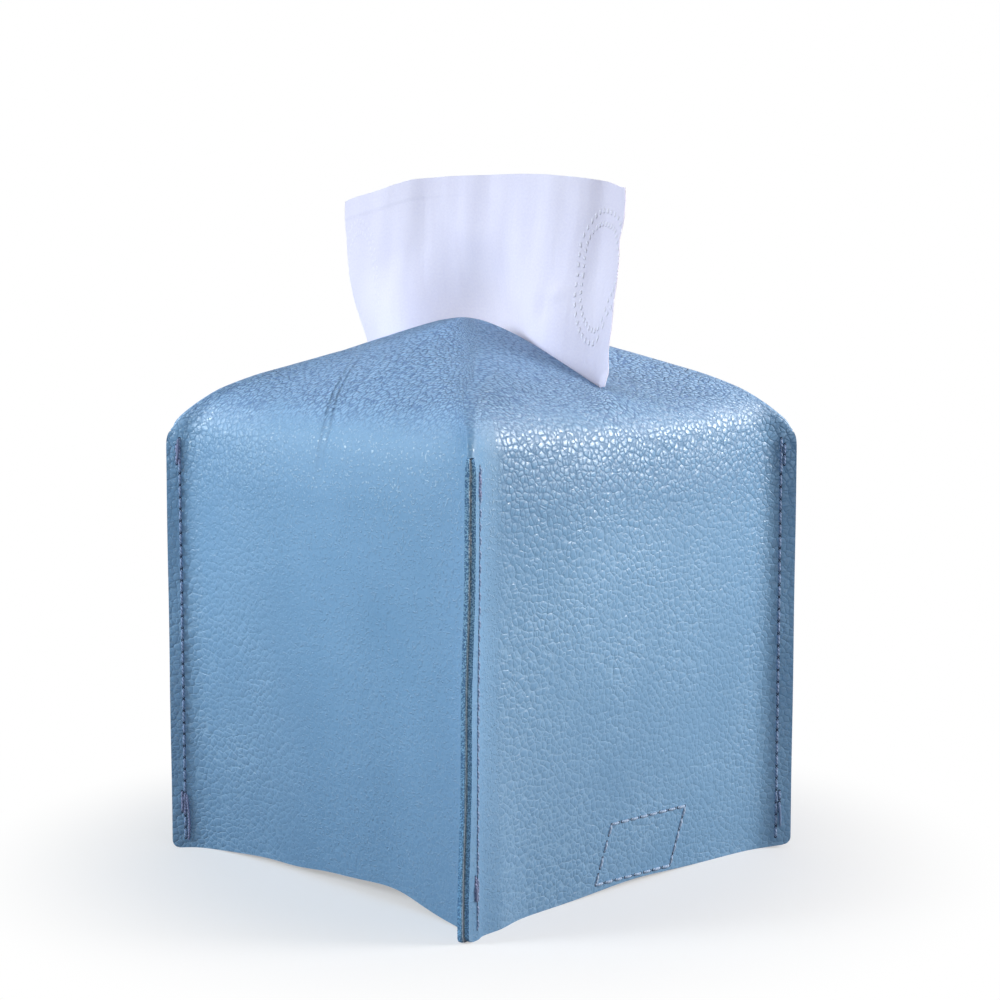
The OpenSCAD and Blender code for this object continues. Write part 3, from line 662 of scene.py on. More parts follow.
def stitch_tree(name, thread, hole):
    """Stitches along a path: each is a short twisted thread that dips into a needle hole at both ends,
    where a flat dark disc is the painted shade in the hole. The path's points carry face_out, the
    direction away from the leather."""
    tree, given, made = node_tree(name, {
        "Stitch Pitch": PITCH * MM, "Stitch Length": STITCH_L * MM, "Thread Width": THREAD_D * MM,
        "Unevenness": .06, "Seed": 3})
    line = result(tree, "GeometryNodeMeshToCurve", {"Mesh": given["Geometry"]})
    spaced = result(tree, "GeometryNodeResampleCurve", {"Curve": line, "Length": given["Stitch Pitch"]}, mode="LENGTH")
    along = result(tree, "GeometryNodeInputTangent")
    out = result(tree, "GeometryNodeInputNamedAttribute", {"Name": "face_out"}, data_type="FLOAT_VECTOR")
    first = result(tree, "FunctionNodeAlignRotationToVector", {"Vector": along}, axis="X")
    both = result(tree, "FunctionNodeAlignRotationToVector", {"Rotation": first, "Vector": out},
                  axis="Z", pivot_axis="X")

    half = sums(tree, "MULTIPLY", given["Stitch Length"], .5)
    back = sums(tree, "MULTIPLY", half, -1.0)
    dip, crown, radius, pit_r = [sums(tree, "MULTIPLY", given["Thread Width"], share) for share in (-.38, .72, .5, .62)]
    start, middle, end = point(tree, X=back, Z=dip), point(tree, Z=crown), point(tree, X=half, Z=dip)
    arc = result(tree, "GeometryNodeCurveQuadraticBezier", {
        "Resolution": 8, "Start": start, "Middle": middle, "End": end})
    ring = result(tree, "GeometryNodeCurvePrimitiveCircle", {"Resolution": 9, "Radius": radius})
    marked = []
    for curve, label in ((arc, "thread_along"), (ring, "thread_round")):
        share = put(tree, "GeometryNodeSplineParameter").outputs["Factor"]
        inputs = {"Geometry": curve, "Name": label, "Value": share}
        marked.append(result(tree, "GeometryNodeStoreNamedAttribute", inputs, data_type="FLOAT", domain="POINT"))
    tube = result(tree, "GeometryNodeCurveToMesh", {"Curve": marked[0], "Profile Curve": marked[1], "Fill Caps": True})
    tube = result(tree, "GeometryNodeSetMaterial", {"Geometry": tube, "Material": thread})

    # Painted shade: a flat dark disc at each end stands in for the shade in the needle hole.
    pit = put(tree, "GeometryNodeMeshUVSphere", {"Segments": 10, "Rings": 5, "Radius": pit_r}).outputs["Mesh"]
    hole_shade_discs = [result(tree, "GeometryNodeTransform", {
        "Geometry": pit, "Translation": point(tree, X=spot), "Scale": (1.0, .95, .16)}) for spot in (back, half)]
    dark = result(tree, "GeometryNodeSetMaterial", {"Geometry": joined(tree, *hole_shade_discs), "Material": hole})

    low, high = [sums(tree, way, 1.0, given["Unevenness"]) for way in ("SUBTRACT", "ADD")]
    size = put(tree, "FunctionNodeRandomValue", {2: low, 3: high, "Seed": given["Seed"]}, data_type="FLOAT").outputs[1]
    stitches = result(tree, "GeometryNodeInstanceOnPoints", {
        "Points": spaced, "Instance": joined(tree, tube, dark), "Rotation": both, "Scale": size})
    real = result(tree, "GeometryNodeRealizeInstances", {"Geometry": stitches})
    feed(tree, made, {0: result(tree, "GeometryNodeSetShadeSmooth", {"Geometry": real})})
    return tree


def made_plain(obj, tree, **sizes):
    """The plain mesh that a tree makes of an object, with the tree's inputs by their names."""
    modifier = obj.modifiers.new(tree.name, "NODES")
    modifier.node_group = tree
    sockets = {s.name: s.identifier for s in tree.interface.items_tree
               if s.item_type == "SOCKET" and s.in_out == "INPUT"}
    for label, value in sizes.items():
        modifier[sockets[label.replace("_", " ")]] = value
    mesh = bpy.data.meshes.new_from_object(obj.evaluated_get(bpy.context.evaluated_depsgraph_get()))
    obj.modifiers.clear()
    return mesh


def sew(name, paths, tree, **sizes):
    """Runs a stitch tree over paths of (points, outward directions) in millimetres, and returns
    the stitches as a plain mesh object."""
    points, outs, edges = [], [], []
    for line, out in paths:
        edges += [(len(points) + i, len(points) + i + 1) for i in range(len(line) - 1)]
        points += (np.asarray(line) * MM).tolist()
        outs += np.asarray(out).tolist()
    mesh = bpy.data.meshes.new(name + "_path")
    mesh.from_pydata(points, edges, [])
    mark_points(mesh, "face_out", outs)
    path = placed(name + "_path", mesh)
    stitched = made_plain(path, tree, **sizes)
    bpy.data.objects.remove(path)
    stitched.name = name
    return placed(name, stitched)


def twist_group():
    """Two plies wound round a thread: 0 in the groove between them, 1 on a ply's back."""
    group, given, made = shader_group("two_plies", {"Along": 0.0, "Round": 0.0}, ("Ply",))
    turns = sums(group, "MULTIPLY_ADD", given["Along"], 3.0, times(group, given["Round"], 2.0))
    feed(group, made, {"Ply": sums(group, "ABSOLUTE", sums(group, "SINE", times(group, turns, math.pi)))})
    return group


two_plies = twist_group()


def sewing_thread(name, base, deep, right=None):
    """Bonded, twisted thread: two plies that wind round it, painted darker in the groove between them as
    painted shade. right is its colour at the back right corner, where another spool was used."""
    material, tree, surface = new_material(name)
    if right:
        at = split(tree, here(tree))
        there = in_range(tree, sums(tree, "ADD", at["X"], at["Y"]), .06, .07)
        base, deep = blend_colour(tree, there, base, right[0]), blend_colour(tree, there, deep, right[1])
    along, turned = [put(tree, "ShaderNodeAttribute", attribute_name=label).outputs["Fac"]
                     for label in ("thread_along", "thread_round")]
    ply = result(tree, "ShaderNodeGroup", {"Along": along, "Round": turned}, node_tree=two_plies)
    # Painted shade: deep is the thread's colour in the groove between the plies.
    feed(tree, surface, {"Base Color": blend_colour(tree, ply, deep, base), "Roughness": .75, "Specular IOR Level": .25,
                         "Normal": bumped(tree, ply, .0001, .8)})
    return material


blue_thread = sewing_thread("light_blue_thread", srgb(162, 184, 216), srgb(104, 132, 172))
# The needle holes' colour is painted shade: only the shade inside a hole is dark.
needle_hole_shade = raw_edge("needle_hole_shade", srgb(44, 66, 98), srgb(24, 38, 62))
seam_stitches = stitch_tree("seam_stitches", blue_thread, needle_hole_shade)


def seam_line(corner, side, d, z):
    """Points up the outer face of one layer of a corner seam, and the directions out of it."""
    radial, across = corner_ways(corner)
    out = -side * across
    line = np.tile(d * radial + FOLD_HALF * out, (len(z), 1))
    line[:, 2] = z
    return soft_shape(line), np.tile(out, (len(z), 1))


for corner, node in enumerate(("front_right_seam_thread", "back_right_seam_thread", "back_left_seam_thread",
                               "front_left_seam_thread")):
    heights = np.linspace(STITCH_START, STITCH_START + SEAM_STITCHES * PITCH, 90)
    lines = [seam_line(corner, side, STITCH_D, heights) for side in (-1, 1)]
    seam = sew(node + "_sewn", lines, seam_stitches, Seed=corner + 5)
    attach(seam, "cover")
    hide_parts(node)

# Tissue: the next two-ply facial tissue, white with a cool cast. It leaves the slit in one gentle
# wave from lip to lip, fans out above it in soft folds, and its right corner lies over the slit's
# end. A folded hem runs just below the top edge, and a dotted emboss holds the plies together.
TISSUE_FOOT, TISSUE_HALF_W, TISSUE_H, TISSUE_T, IN_SLIT = 131.0, 58.5, 68, .32, 47.5
# Its top edge by place along the slit, its side edges by height, and how far its folds stand out.
TISSUE_TOP = np.array([
    [-60.8, 194.7], [-57.4, 196.2], [-53.6, 197], [-46.5, 198.1], [-39.5, 199.1], [-32.7, 200.5], [-25.9, 201.8],
    [-12.7, 202.3], [6.4, 202.2], [18.7, 202], [30.6, 201.4], [42.2, 200.2], [53.5, 198.6], [57.3, 196.8]])
TISSUE_LEFT = np.array([
    [131, -47.3], [141, -47.5], [147, -48.6], [152.6, -50.3], [158.8, -53.7], [165, -56.6], [171.2, -58.6],
    [177.5, -59.5], [183.8, -60], [190, -60.8], [196, -60.6]])
TISSUE_RIGHT = np.array([
    [131, 47.3], [139.5, 48.2], [141.8, 51.2], [145.8, 51.6], [152.2, 51.6], [157.8, 52.7], [166.1, 53.4],
    [171.7, 54.5], [177.2, 55.2], [182.6, 55.3], [188.1, 57], [193.5, 57.5], [199, 57.2]])
TISSUE_LOOSE = np.array([
    [-62, .4], [-52, -.2], [-42, -1], [-34, -1.2], [-29, -.4], [-24, 1.2], [-18, 1.5], [-13, .4], [-7, -.2],
    [2, .6], [11, 1], [21, .1], [32, -1.1], [40, -1.5], [45, -.6], [50, .9], [54, .8], [60, -.3]])


def smooth_table(table, x, spread):
    """The table's value at x, with its corners rounded over a spread either side."""
    steps = np.linspace(-1.5, 1.5, 13)
    weights = np.exp(-steps**2)
    return sum(w * np.interp(x + spread * t, *table.T) for w, t in zip(weights, steps)) / weights.sum()


def tissue_middle(across, up):
    """Middle surface of the raised sheet, for shares across (-1 to 1) and up (0 to 1)."""
    top = smooth_table(TISSUE_TOP, across * TISSUE_HALF_W, 2.5)
    z = mix(TISSUE_FOOT + 10.9 * ramp(across, .9, .975), top, up)
    x = mix(smooth_table(TISSUE_LEFT, z, 2), smooth_table(TISSUE_RIGHT, z, 1), (across + 1) / 2)
    wave = (slit_half(across * IN_SLIT) - .55) * np.cos(math.radians(270) * across)
    free = ramp(z - lip_z(across * IN_SLIT), .5, 26.5)
    fan = x / mix(.86, 1, ramp(z, 150, 195))
    loose = .55 * smooth_table(TISSUE_LOOSE, fan, 1.6) * (.8 + .3 * np.sin(z / 15 + 1))
    loose -= 1.2 * ramp(across, .5, 1) * ramp(z, 190, 145)
    crinkle = .16 * np.sin(x / 2.9 + z / 8 + 2 * np.sin(z / 13)) * bell(x, 8, 30) + .12 * np.sin(x / 1.9 - z / 11)
    dent = .45 * bell(x, 34, 3) * bell(z, 168, 2.5) - .5 * bell(x, 29, 2.5) * bell(z, 163, 4)
    hem = .12 * ramp(z - top, -6.2, -5.6) * ramp(across * 58, 6, -34)
    corner = 1.1 * ramp(across, .93, 1) * ramp(z, 147, 142)
    y = mix(wave, loose + .25 * wave, free) + free * crinkle - dent - hem - corner
    return np.stack([x - y * free * ramp(np.abs(across), .5, 1), y, z], -1)


def tissue_mesh(cols=230, rows=150):
    across, up = np.meshgrid(np.linspace(-1, 1, cols + 1), np.linspace(0, 1, rows + 1))
    middle = tissue_middle(across, up)
    out = np.cross(np.gradient(middle, axis=1), np.gradient(middle, axis=0))
    out /= np.linalg.norm(out, axis=2, keepdims=True)
    ids = np.arange((cols + 1) * (rows + 1)).reshape(rows + 1, cols + 1)
    a, b, c, d = (q.ravel() for q in (ids[:-1, :-1], ids[:-1, 1:], ids[1:, 1:], ids[1:, :-1]))
    total = ids.size
    rim = np.concatenate([ids[0, :-1], ids[:-1, -1], ids[-1, :0:-1], ids[:0:-1, 0]])
    after = np.roll(rim, -1)
    faces = np.concatenate([np.stack([a, b, c, d], 1), np.stack([a, d, c, b], 1) + total,
                            np.stack([after, rim, rim + total, after + total], 1)])
    points = [(middle + way * TISSUE_T / 2 * out).reshape(-1, 3) for way in (1, -1)]
    obj = finish_mesh("raised_tissue", np.concatenate(points), faces, sharp=60)
    place = np.stack([across.ravel() * TISSUE_HALF_W, up.ravel() * TISSUE_H, 0 * up.ravel()], 1)
    mark_points(obj.data, "sheet_place", np.tile(place * MM, (2, 1)))
    return obj


def soft_tissue(name, base, shade, raised):
    """Thin, soft paper: faint mottled fibres, fine upright crinkles, and double rings of embossed
    dots along the sides, plainer on the left, read from the sheet's own flat place. The dots are
    painted lighter as a painted highlight on their raised tops."""
    material, tree, surface = new_material(name)
    flat = put(tree, "ShaderNodeAttribute", attribute_name="sheet_place").outputs["Vector"]
    at = split(tree, flat)
    fibre, cloud = noise(tree, flat, 1400.0, 4.0), noise(tree, flat, 45.0, 2.0)
    upright = result(tree, "ShaderNodeVectorMath", {0: flat, 1: (1.0, .22, 1.0)}, operation="MULTIPLY")
    crinkle = noise(tree, upright, 420.0, 3.0)
    leaf_x = sums(tree, "DIVIDE", sums(tree, "SUBTRACT", sums(tree, "ABSOLUTE", at["X"]), .052), .0082)
    leaf_y = sums(tree, "DIVIDE", sums(tree, "SUBTRACT", sums(tree, "PINGPONG", at["Y"], .0415), .0395), .0165)
    out = sums(tree, "SQRT", sums(tree, "ADD", times(tree, leaf_x, leaf_x), times(tree, leaf_y, leaf_y)))
    rings = [in_range(tree, sums(tree, "ABSOLUTE", sums(tree, "SUBTRACT", out, r)), .025, .05, 1.0, 0.0)
             for r in (1.0, .78)]
    around = sums(tree, "SINE", times(tree, sums(tree, "ARCTAN2", leaf_y, leaf_x), 36.0))
    emboss = times(tree, sums(tree, "MAXIMUM", *rings), in_range(tree, around, 0.0, .6),
                   in_range(tree, at["X"], -.03, .03, .3, 1.0))
    tone = sums(tree, "MULTIPLY_ADD", fibre, .5, times(tree, cloud, .5))
    paper = blend_colour(tree, in_range(tree, tone, .35, .65), shade, base)
    height = sums(tree, "MULTIPLY_ADD", emboss, 1.6, sums(tree, "MULTIPLY_ADD", fibre, .3, crinkle))
    # Painted highlight: the embossed dots are painted in the lighter raised colour.
    feed(tree, surface, {"Base Color": blend_colour(tree, times(tree, emboss, .7), paper, raised), "Roughness": .92,
                         "Specular IOR Level": .2, "Normal": bumped(tree, height, .00022, .7)})
    return material


tissue = tissue_mesh()
give_materials(tissue, soft_tissue("white_tissue", srgb(241, 236, 252), srgb(235, 230, 249), srgb(246, 244, 255)))
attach(tissue, "tissue")
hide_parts("tissue_sheet")

# Belt: two halves of one width, cut from smooth leather of the same dye. Each is one strip: its
# root is sewn flat and a little aslant inside a side wall, and it folds under the carton there.
BELT_W, BELT_T, BELT_Y, BELT_EDGE_R, BELT_CORNER_R = 36.0, 1.2, 7.0, .45, 6.0
ROOT_H, SLANT, SLANT_FROM, FOLD_R, BELT_GAP = 21.0, 5.5, 3.5, 1.7, .03
STRAP_Z, TAB_Z, STRAP_END, TAB_END = .6, 3.9, -30.0, 5.0
BELT_DEPTH = HIDE_T + LINING_T + BELT_GAP
# Where a belt half's free part begins and ends: out from the middle, and above its level. The points made from it below
# are not used.
BEND = ((56.6, 2.6), (53.2, 0))
ROOT_ROWS, FOLD_ROWS, FLAT_ROWS = 26, 12, 40


def wall_at(face, along, z, depth=0.0, low_rows=24):
    """Points low on the cover's wall at places along a side face and heights, a depth below its
    outer surface, with the outward directions there."""
    along, z = np.broadcast_arrays(np.asarray(along, float), np.asarray(z, float))
    cols = np.flatnonzero((hide_cols["face"] == face) & (hide_cols["strip"] == 0) & ~hide_folded)
    cols = cols[np.argsort(hide_points[0, cols, 1])]
    points, outs = [], []
    for a, h in zip(along.ravel(), z.ravel()):
        heights = [np.interp(a, hide_points[r, cols, 1], hide_points[r, cols, 2]) for r in range(low_rows)]
        row = int(np.clip(np.searchsorted(heights, h, "right") - 1, 0, low_rows - 2))
        share = (h - heights[row]) / (heights[row + 1] - heights[row])
        for table, found in ((hide_points, points), (hide_out, outs)):
            ends = [np.array([np.interp(a, hide_points[r, cols, 1], table[r, cols, k]) for k in range(3)])
                    for r in (row, row + 1)]
            found.append(mix(*ends, share))
    points, outs = np.array(points), np.array(outs)
    outs /= np.linalg.norm(outs, axis=1, keepdims=True)
    return points - depth * outs, outs


def leather_strip(name, centre, up, half, thick, round_edge, cols=24):
    """A strip with rounded long edges. Each row has a middle point, the direction of its top face,
    and a half width along Y. Its faces are of three kinds: 0 top, 1 underside, 2 edges."""
    angles = np.radians(np.arange(22.5, 180, 22.5))
    corners = len(angles) + 1
    v = np.linspace(1, -1, cols + 1)
    across = np.sign(np.cross(up[-1], centre[-1] - centre[-2])[1])
    rows = []
    for p, n, w in zip(centre, up, half):
        flat = w - round_edge
        ring = [(q * flat, thick / 2) for q in v]
        ring += [(-flat - round_edge * math.sin(t), thick / 2 * math.cos(t)) for t in angles]
        ring += [(-q * flat, -thick / 2) for q in v]
        ring += [(flat + round_edge * math.sin(t), -thick / 2 * math.cos(t)) for t in angles]
        rows.append([p + np.array([0, across * a, 0]) + h * n for a, h in ring])
    rows = np.array(rows)
    count, size = rows.shape[:2]
    ids = np.arange(count * size).reshape(count, size)
    nxt = np.roll(ids, -1, 1)
    kinds = np.full((count - 1, size), 2)
    kinds[:, :cols], kinds[:, cols + corners:2 * cols + corners] = 0, 1
    faces = np.stack([ids[:-1], nxt[:-1], nxt[1:], ids[1:]], 2).reshape(-1, 4).tolist()
    kinds = kinds.ravel().tolist()
    for row, turn in ((ids[0], -1), (ids[-1], 1)):
        for i in range(-corners // 2, cols + corners // 2):
            under = 2 * cols + corners - i
            quad = [row[k % size] for k in (i, i + 1, under - 1, under)]
            faces.append(list(dict.fromkeys(quad))[::turn])
            kinds.append(2)
    return finish_mesh(name, rows.reshape(-1, 3), faces, kinds, sharp=40)


def belt_half(name, side, level, end_x):
    """One belt half, from the top of its sewn root, round its fold, to its free end. side is 1 for
    the right wall and -1 for the left; level is the height of its middle plane under the carton."""
    on_wall, out = wall_at(2 - side, BELT_Y, np.linspace(ROOT_H, level + FOLD_R, ROOT_ROWS), BELT_DEPTH + BELT_T / 2)
    centre, up = on_wall * (1, 0, 1), -out * (1, 0, 1)
    hub = centre[-1] - (side * FOLD_R, 0, 0)
    turn = np.radians(np.linspace(7.5, 90, FOLD_ROWS))
    arm = np.stack([side * np.cos(turn), 0 * turn, -np.sin(turn)], 1)
    shares = np.sin(np.linspace(0, math.pi / 2, FLAT_ROWS + 1))[1:, None]
    centre = np.concatenate([centre, hub + FOLD_R * arm, hub - (0, 0, FOLD_R) + shares * (end_x - hub[0], 0, 0)])
    up = np.concatenate([up, -arm, np.tile((0, 0, 1), (FLAT_ROWS, 1))])
    walked = np.concatenate([[0], np.cumsum(np.linalg.norm(np.diff(centre, axis=0), axis=1))])
    half = BELT_W / 2 - rounded_in(walked[-1] - walked, BELT_CORNER_R)
    slant = np.clip((centre[:, 2] - SLANT_FROM) / (ROOT_H - SLANT_FROM), 0, 1) - .5
    fold_end = ROOT_ROWS + FOLD_ROWS - 1
    past = ramp(walked, walked[fold_end], walked[fold_end] + 40) * (np.arange(len(walked)) > fold_end)
    centre[:, 1] = BELT_Y + SLANT * slant * (1 - past)
    return leather_strip(name, centre, up, half, BELT_T, BELT_EDGE_R)


belt_leather = pebbled_leather("blue_belt_leather", srgb(106, 146, 184), srgb(80, 118, 158), srgb(116, 156, 196),
                               pebble=.001, height=.00008, rough=.42)
belt_back = raw_edge("belt_flesh_side", srgb(120, 150, 182), srgb(96, 128, 162), 900.0)
belt_edge = raw_edge("belt_cut_edge", srgb(84, 108, 138), srgb(56, 78, 108))
for side, name, body, nodes, level, end_x in (
        (1, "lower_belt_half", "strap", ("strap_root", "strap"), STRAP_Z, STRAP_END),
        (-1, "upper_belt_half", "tab", ("tab_root", "tab"), TAB_Z, -TAB_END)):
    belt = belt_half(name, side, level, end_x)
    give_materials(belt, belt_leather, belt_back, belt_edge)
    start, end = [(side * x * MM, BELT_Y * MM, (level + up) * MM) for x, up in BEND]
    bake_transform(belt)
    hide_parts(*nodes)

# Root stitches: the belt's roots are sewn on through hide, lining and belt with the seams' thread,
# so a slanted outline of stitches shows on the outer face of a side wall and on the belt inside.
# Stitches run right into its corners, which are given by their place along the wall and height.
ROOTS = {"strap_root_stitches": (1, [(-11.8, 2.7), (20.1, 1.9), (25.7, 18.8), (-6.1, 19.3)]),
         "tab_root_stitches": (3, [(-11.6, 5.9), (20.1, 5.8), (25.7, 18.9), (-6.1, 18.9)])}


def ring_paths(corners, place):
    """One open path along each side of a closed outline, half a stitch short of its corners."""
    paths = []
    for a, b in zip(corners, np.roll(corners, -1, 0)):
        short = (b - a) / np.linalg.norm(b - a) * PITCH * .46
        spots = np.linspace(a + short, b - short, 40)
        paths.append(place(spots[:, 0], spots[:, 1]))
    return paths


def belt_root_at(face, y, z):
    """Points on a belt root's face inside the cover, with the directions out of it."""
    p, out = wall_at(face, BELT_Y, z, BELT_DEPTH + BELT_T)
    return np.column_stack([p[:, 0], y, p[:, 2]]), -out


# Painted light: the seams' thread, given a lighter colour on the roots.
root_thread_painted_light = sewing_thread("root_thread_painted_light", srgb(186, 206, 230), srgb(132, 160, 196))
root_sewing = stitch_tree("root_sewing", root_thread_painted_light, needle_hole_shade)
for node, (face, corners) in ROOTS.items():
    paths = [path for place in (wall_at, belt_root_at)
             for path in ring_paths(np.array(corners), lambda y, z: place(face, y, z))]
    ring = sew(node + "_sewn", paths, root_sewing, Seed=face + 20)
    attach(ring, "cover")
    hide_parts(node)

# Hook and loop: a woven nylon patch is sewn round its bare margin to each belt half's free end,
# stiff hooks on the lower half's top face and soft loops on the upper half's underside.
PAD_L, PAD_W, PAD_T, PAD_PILE, PAD_BARE, PAD_CORNER_R, PAD_EDGE_R, PAD_ROWS = 22.0, 31.0, .4, .5, 2.3, 1.5, .12, 30


def pile_tree(name, yarn, middle, end):
    """Rows of hooks or loops over a patch. middle and end shape one of them, in pile heights."""
    tree, given, made = node_tree(name, {
        "Place": (0, 0, 0), "Turn": (0, 0, 0), "Length": .018, "Width": .027, "Spacing": .001,
        "Pile Height": PAD_PILE * MM, "Yarn Width": .00018, "Scatter": .25, "Seed": 4})
    counts = [sums(tree, "ADD", sums(tree, "ROUND", sums(tree, "DIVIDE", given[k], given["Spacing"])), 1.0)
              for k in ("Length", "Width")]
    grid = result(tree, "GeometryNodeMeshGrid", {
        "Size X": given["Length"], "Size Y": given["Width"], "Vertices X": counts[0], "Vertices Y": counts[1]})
    reach = sums(tree, "MULTIPLY", given["Spacing"], given["Scatter"])
    low, high = [point(tree, X=v, Y=v) for v in (sums(tree, "MULTIPLY", reach, -1.0), reach)]
    stray = result(tree, "FunctionNodeRandomValue", {0: low, 1: high, "Seed": given["Seed"]}, data_type="FLOAT_VECTOR")
    spread = result(tree, "GeometryNodeSetPosition", {"Geometry": grid, "Offset": stray})
    bend, tip = [result(tree, "ShaderNodeVectorMath", {0: shape, "Scale": given["Pile Height"]}, operation="SCALE")
                 for shape in (middle, end)]
    arc = result(tree, "GeometryNodeCurveQuadraticBezier", {
        "Resolution": 4, "Start": (0, 0, 0), "Middle": bend, "End": tip})
    radius = sums(tree, "MULTIPLY", given["Yarn Width"], .5)
    ring = result(tree, "GeometryNodeCurvePrimitiveCircle", {"Resolution": 4, "Radius": radius})
    strand = result(tree, "GeometryNodeCurveToMesh", {"Curve": arc, "Profile Curve": ring, "Fill Caps": True})
    turned = result(tree, "FunctionNodeRandomValue", {0: (0, 0, -.5), 1: (0, 0, .5), "Seed": given["Seed"]},
                    data_type="FLOAT_VECTOR")
    size = put(tree, "FunctionNodeRandomValue", {2: .85, 3: 1.0, "Seed": given["Seed"]}, data_type="FLOAT").outputs[1]
    strands = result(tree, "GeometryNodeInstanceOnPoints", {
        "Points": spread, "Instance": strand, "Rotation": turned, "Scale": size})
    moved = result(tree, "GeometryNodeTransform", {
        "Geometry": strands, "Translation": given["Place"], "Rotation": given["Turn"]})
    real = result(tree, "GeometryNodeRealizeInstances", {"Geometry": moved})
    real = result(tree, "GeometryNodeSetMaterial", {"Geometry": real, "Material": yarn})
    feed(tree, made, {0: joined(tree, given["Geometry"], real)})
    return tree


def moulded_nylon(name, base, deep):
    """Nylon yarn or hooks: shiny, with dye and gloss that vary."""
    material, tree, surface = new_material(name)
    mottle = noise(tree, here(tree), 900.0, 2.0)
    feed(tree, surface, {"Base Color": blend_colour(tree, in_range(tree, mottle, .3, .7), deep, base),
                         "Roughness": in_range(tree, mottle, .3, .7, .3, .5)})
    return material


pad_cloth = woven_cloth("pad_base_cloth", srgb(86, 104, 130), srgb(56, 72, 96), 3600.0)
hook_nylon = moulded_nylon("hook_nylon", srgb(104, 124, 150), srgb(70, 88, 112))
loop_nylon = moulded_nylon("loop_nylon", srgb(92, 112, 140), srgb(62, 80, 106))
hooks = pile_tree("hook_rows", hook_nylon, (.15, 0, 1.75), (.75, 0, .5))
loops = pile_tree("loop_rows", loop_nylon, (.4, .2, 1.95), (.9, .3, 0))
for node, body, tree, way, start, level, spacing in (
        ("hook_pad", "strap", hooks, 1, STRAP_END + 2, STRAP_Z + BELT_T / 2, 1.0),
        ("loop_pad", "tab", loops, -1, -TAB_END - 2, TAB_Z - BELT_T / 2, .85)):
    inward = PAD_L * (.5 - .5 * np.cos(np.linspace(0, math.pi, PAD_ROWS)))
    centre = np.column_stack([start + way * inward, 0 * inward + BELT_Y, 0 * inward + level + way * PAD_T / 2])
    half = PAD_W / 2 - rounded_in(np.minimum(inward, PAD_L - inward), PAD_CORNER_R)
    up = np.tile((0, 0, 1.0 * way), (PAD_ROWS, 1))
    pad = leather_strip(node + "_sewn_on", centre, up, half, PAD_T, PAD_EDGE_R, cols=12)
    give_materials(pad, pad_cloth, pad_cloth, pad_cloth)
    top = level + way * PAD_T
    pad.data = made_plain(pad, tree, Place=((start + way * PAD_L / 2) * MM, BELT_Y * MM, top * MM),
                          Turn=(0 if way > 0 else math.pi, 0, 0), Length=(PAD_L - 2 * PAD_BARE) * MM,
                          Width=(PAD_W - 2 * PAD_BARE) * MM, Spacing=spacing * MM, Seed=11)
    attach(pad, body)
    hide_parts(node)
    low, high = sorted((start + way, start + way * (PAD_L - 1)))
    near, far = BELT_Y - PAD_W / 2 + 1, BELT_Y + PAD_W / 2 - 1
    corners = np.array([(low, near), (high, near), (high, far), (low, far)])
    paths = ring_paths(corners, lambda x, y: (np.column_stack([x, y, 0 * x + top]), np.tile((0, 0, way), (len(x), 1))))
    ring = sew(node + "_stitches_sewn", paths, seam_stitches, Seed=31, Thread_Width=.6 * MM)
    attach(ring, body)
    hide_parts(node + "_stitches")

# Locking stitches: each seam's thread is locked near the hem and near its top with a few stitches
# over the last ones, in lilac thread, and its ends are melted down or tucked along the seam.
LOCKS, LOCK_ROWS = ((11.6, 15.4), (117.4, 120.6)), (.05, .85)
# Loose ends: the corner, the side of its seam, how far outside the stitches, and the heights.
TAILS = ((3, 1, -.9, 2.2, 16.5), (3, 1, .7, 118, 124.5), (0, 1, .9, 10.5, 14.5), (1, -1, .9, 6.0, 13.0),
         (2, 1, -.8, 4.0, 13.5))
TAIL_R = .36
lilac_thread = sewing_thread("lilac_thread", srgb(160, 168, 202), srgb(108, 120, 160),
                             right=(srgb(150, 172, 206), srgb(92, 120, 162)))
lock_tree = stitch_tree("lock_stitches", lilac_thread, needle_hole_shade)
paths = [seam_line(corner, side, STITCH_D + n, np.linspace(low + n, high + n, 8))
         for corner in range(4) for side in (-1, 1) for low, high in LOCKS for n in LOCK_ROWS]
locks = sew("locking_stitches_sewn", paths, lock_tree, Seed=9, Stitch_Pitch=1.9 * MM, Stitch_Length=2.5 * MM,
            Thread_Width=.78 * MM, Unevenness=.14)
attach(locks, "cover")
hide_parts("locking_stitches")


def thread_ends(name, lines, radius, sides=8):
    """Loose thread ends as round tubes along their points, tapering to a melted tip."""
    points, faces, along, turned = [], [], [], []
    ring = np.arange(sides) / sides * 2 * math.pi
    for line, out in lines:
        way = np.gradient(line, axis=0)
        way /= np.linalg.norm(way, axis=1, keepdims=True)
        first, count = len(points), len(line)
        for i, (p, o, a) in enumerate(zip(line, out, np.cross(way, out))):
            thin = radius * min(1, .35 + (count - 1 - i) / 3, .35 + i / 3)
            points += [p + thin * (math.cos(t) * a + math.sin(t) * o) for t in ring]
            along += [i / count * 6] * sides
            turned += (ring / (2 * math.pi)).tolist()
        for start in range(first, first + sides * (count - 1), sides):
            for k in range(sides):
                a, b = start + k, start + (k + 1) % sides
                faces.append([a, b, b + sides, a + sides])
        last = first + sides * (count - 1)
        faces += [list(range(first + sides - 1, first - 1, -1)), list(range(last, last + sides))]
    obj = finish_mesh(name, points, faces, sharp=60)
    mark_points(obj.data, "thread_along", along)
    mark_points(obj.data, "thread_round", turned)
    return obj


tails = []
for corner, side, shift, low, high in TAILS:
    z = np.linspace(high, low, 26)
    line, out = seam_line(corner, side, STITCH_D + shift, z)
    sway = .28 * np.sin((z - low) / 3.1 + corner)
    tails.append((line + sway[:, None] * corner_ways(corner)[0] + .33 * out, out))
ends = thread_ends("thread_ends", tails, TAIL_R)
give_materials(ends, lilac_thread)
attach(ends, "cover")

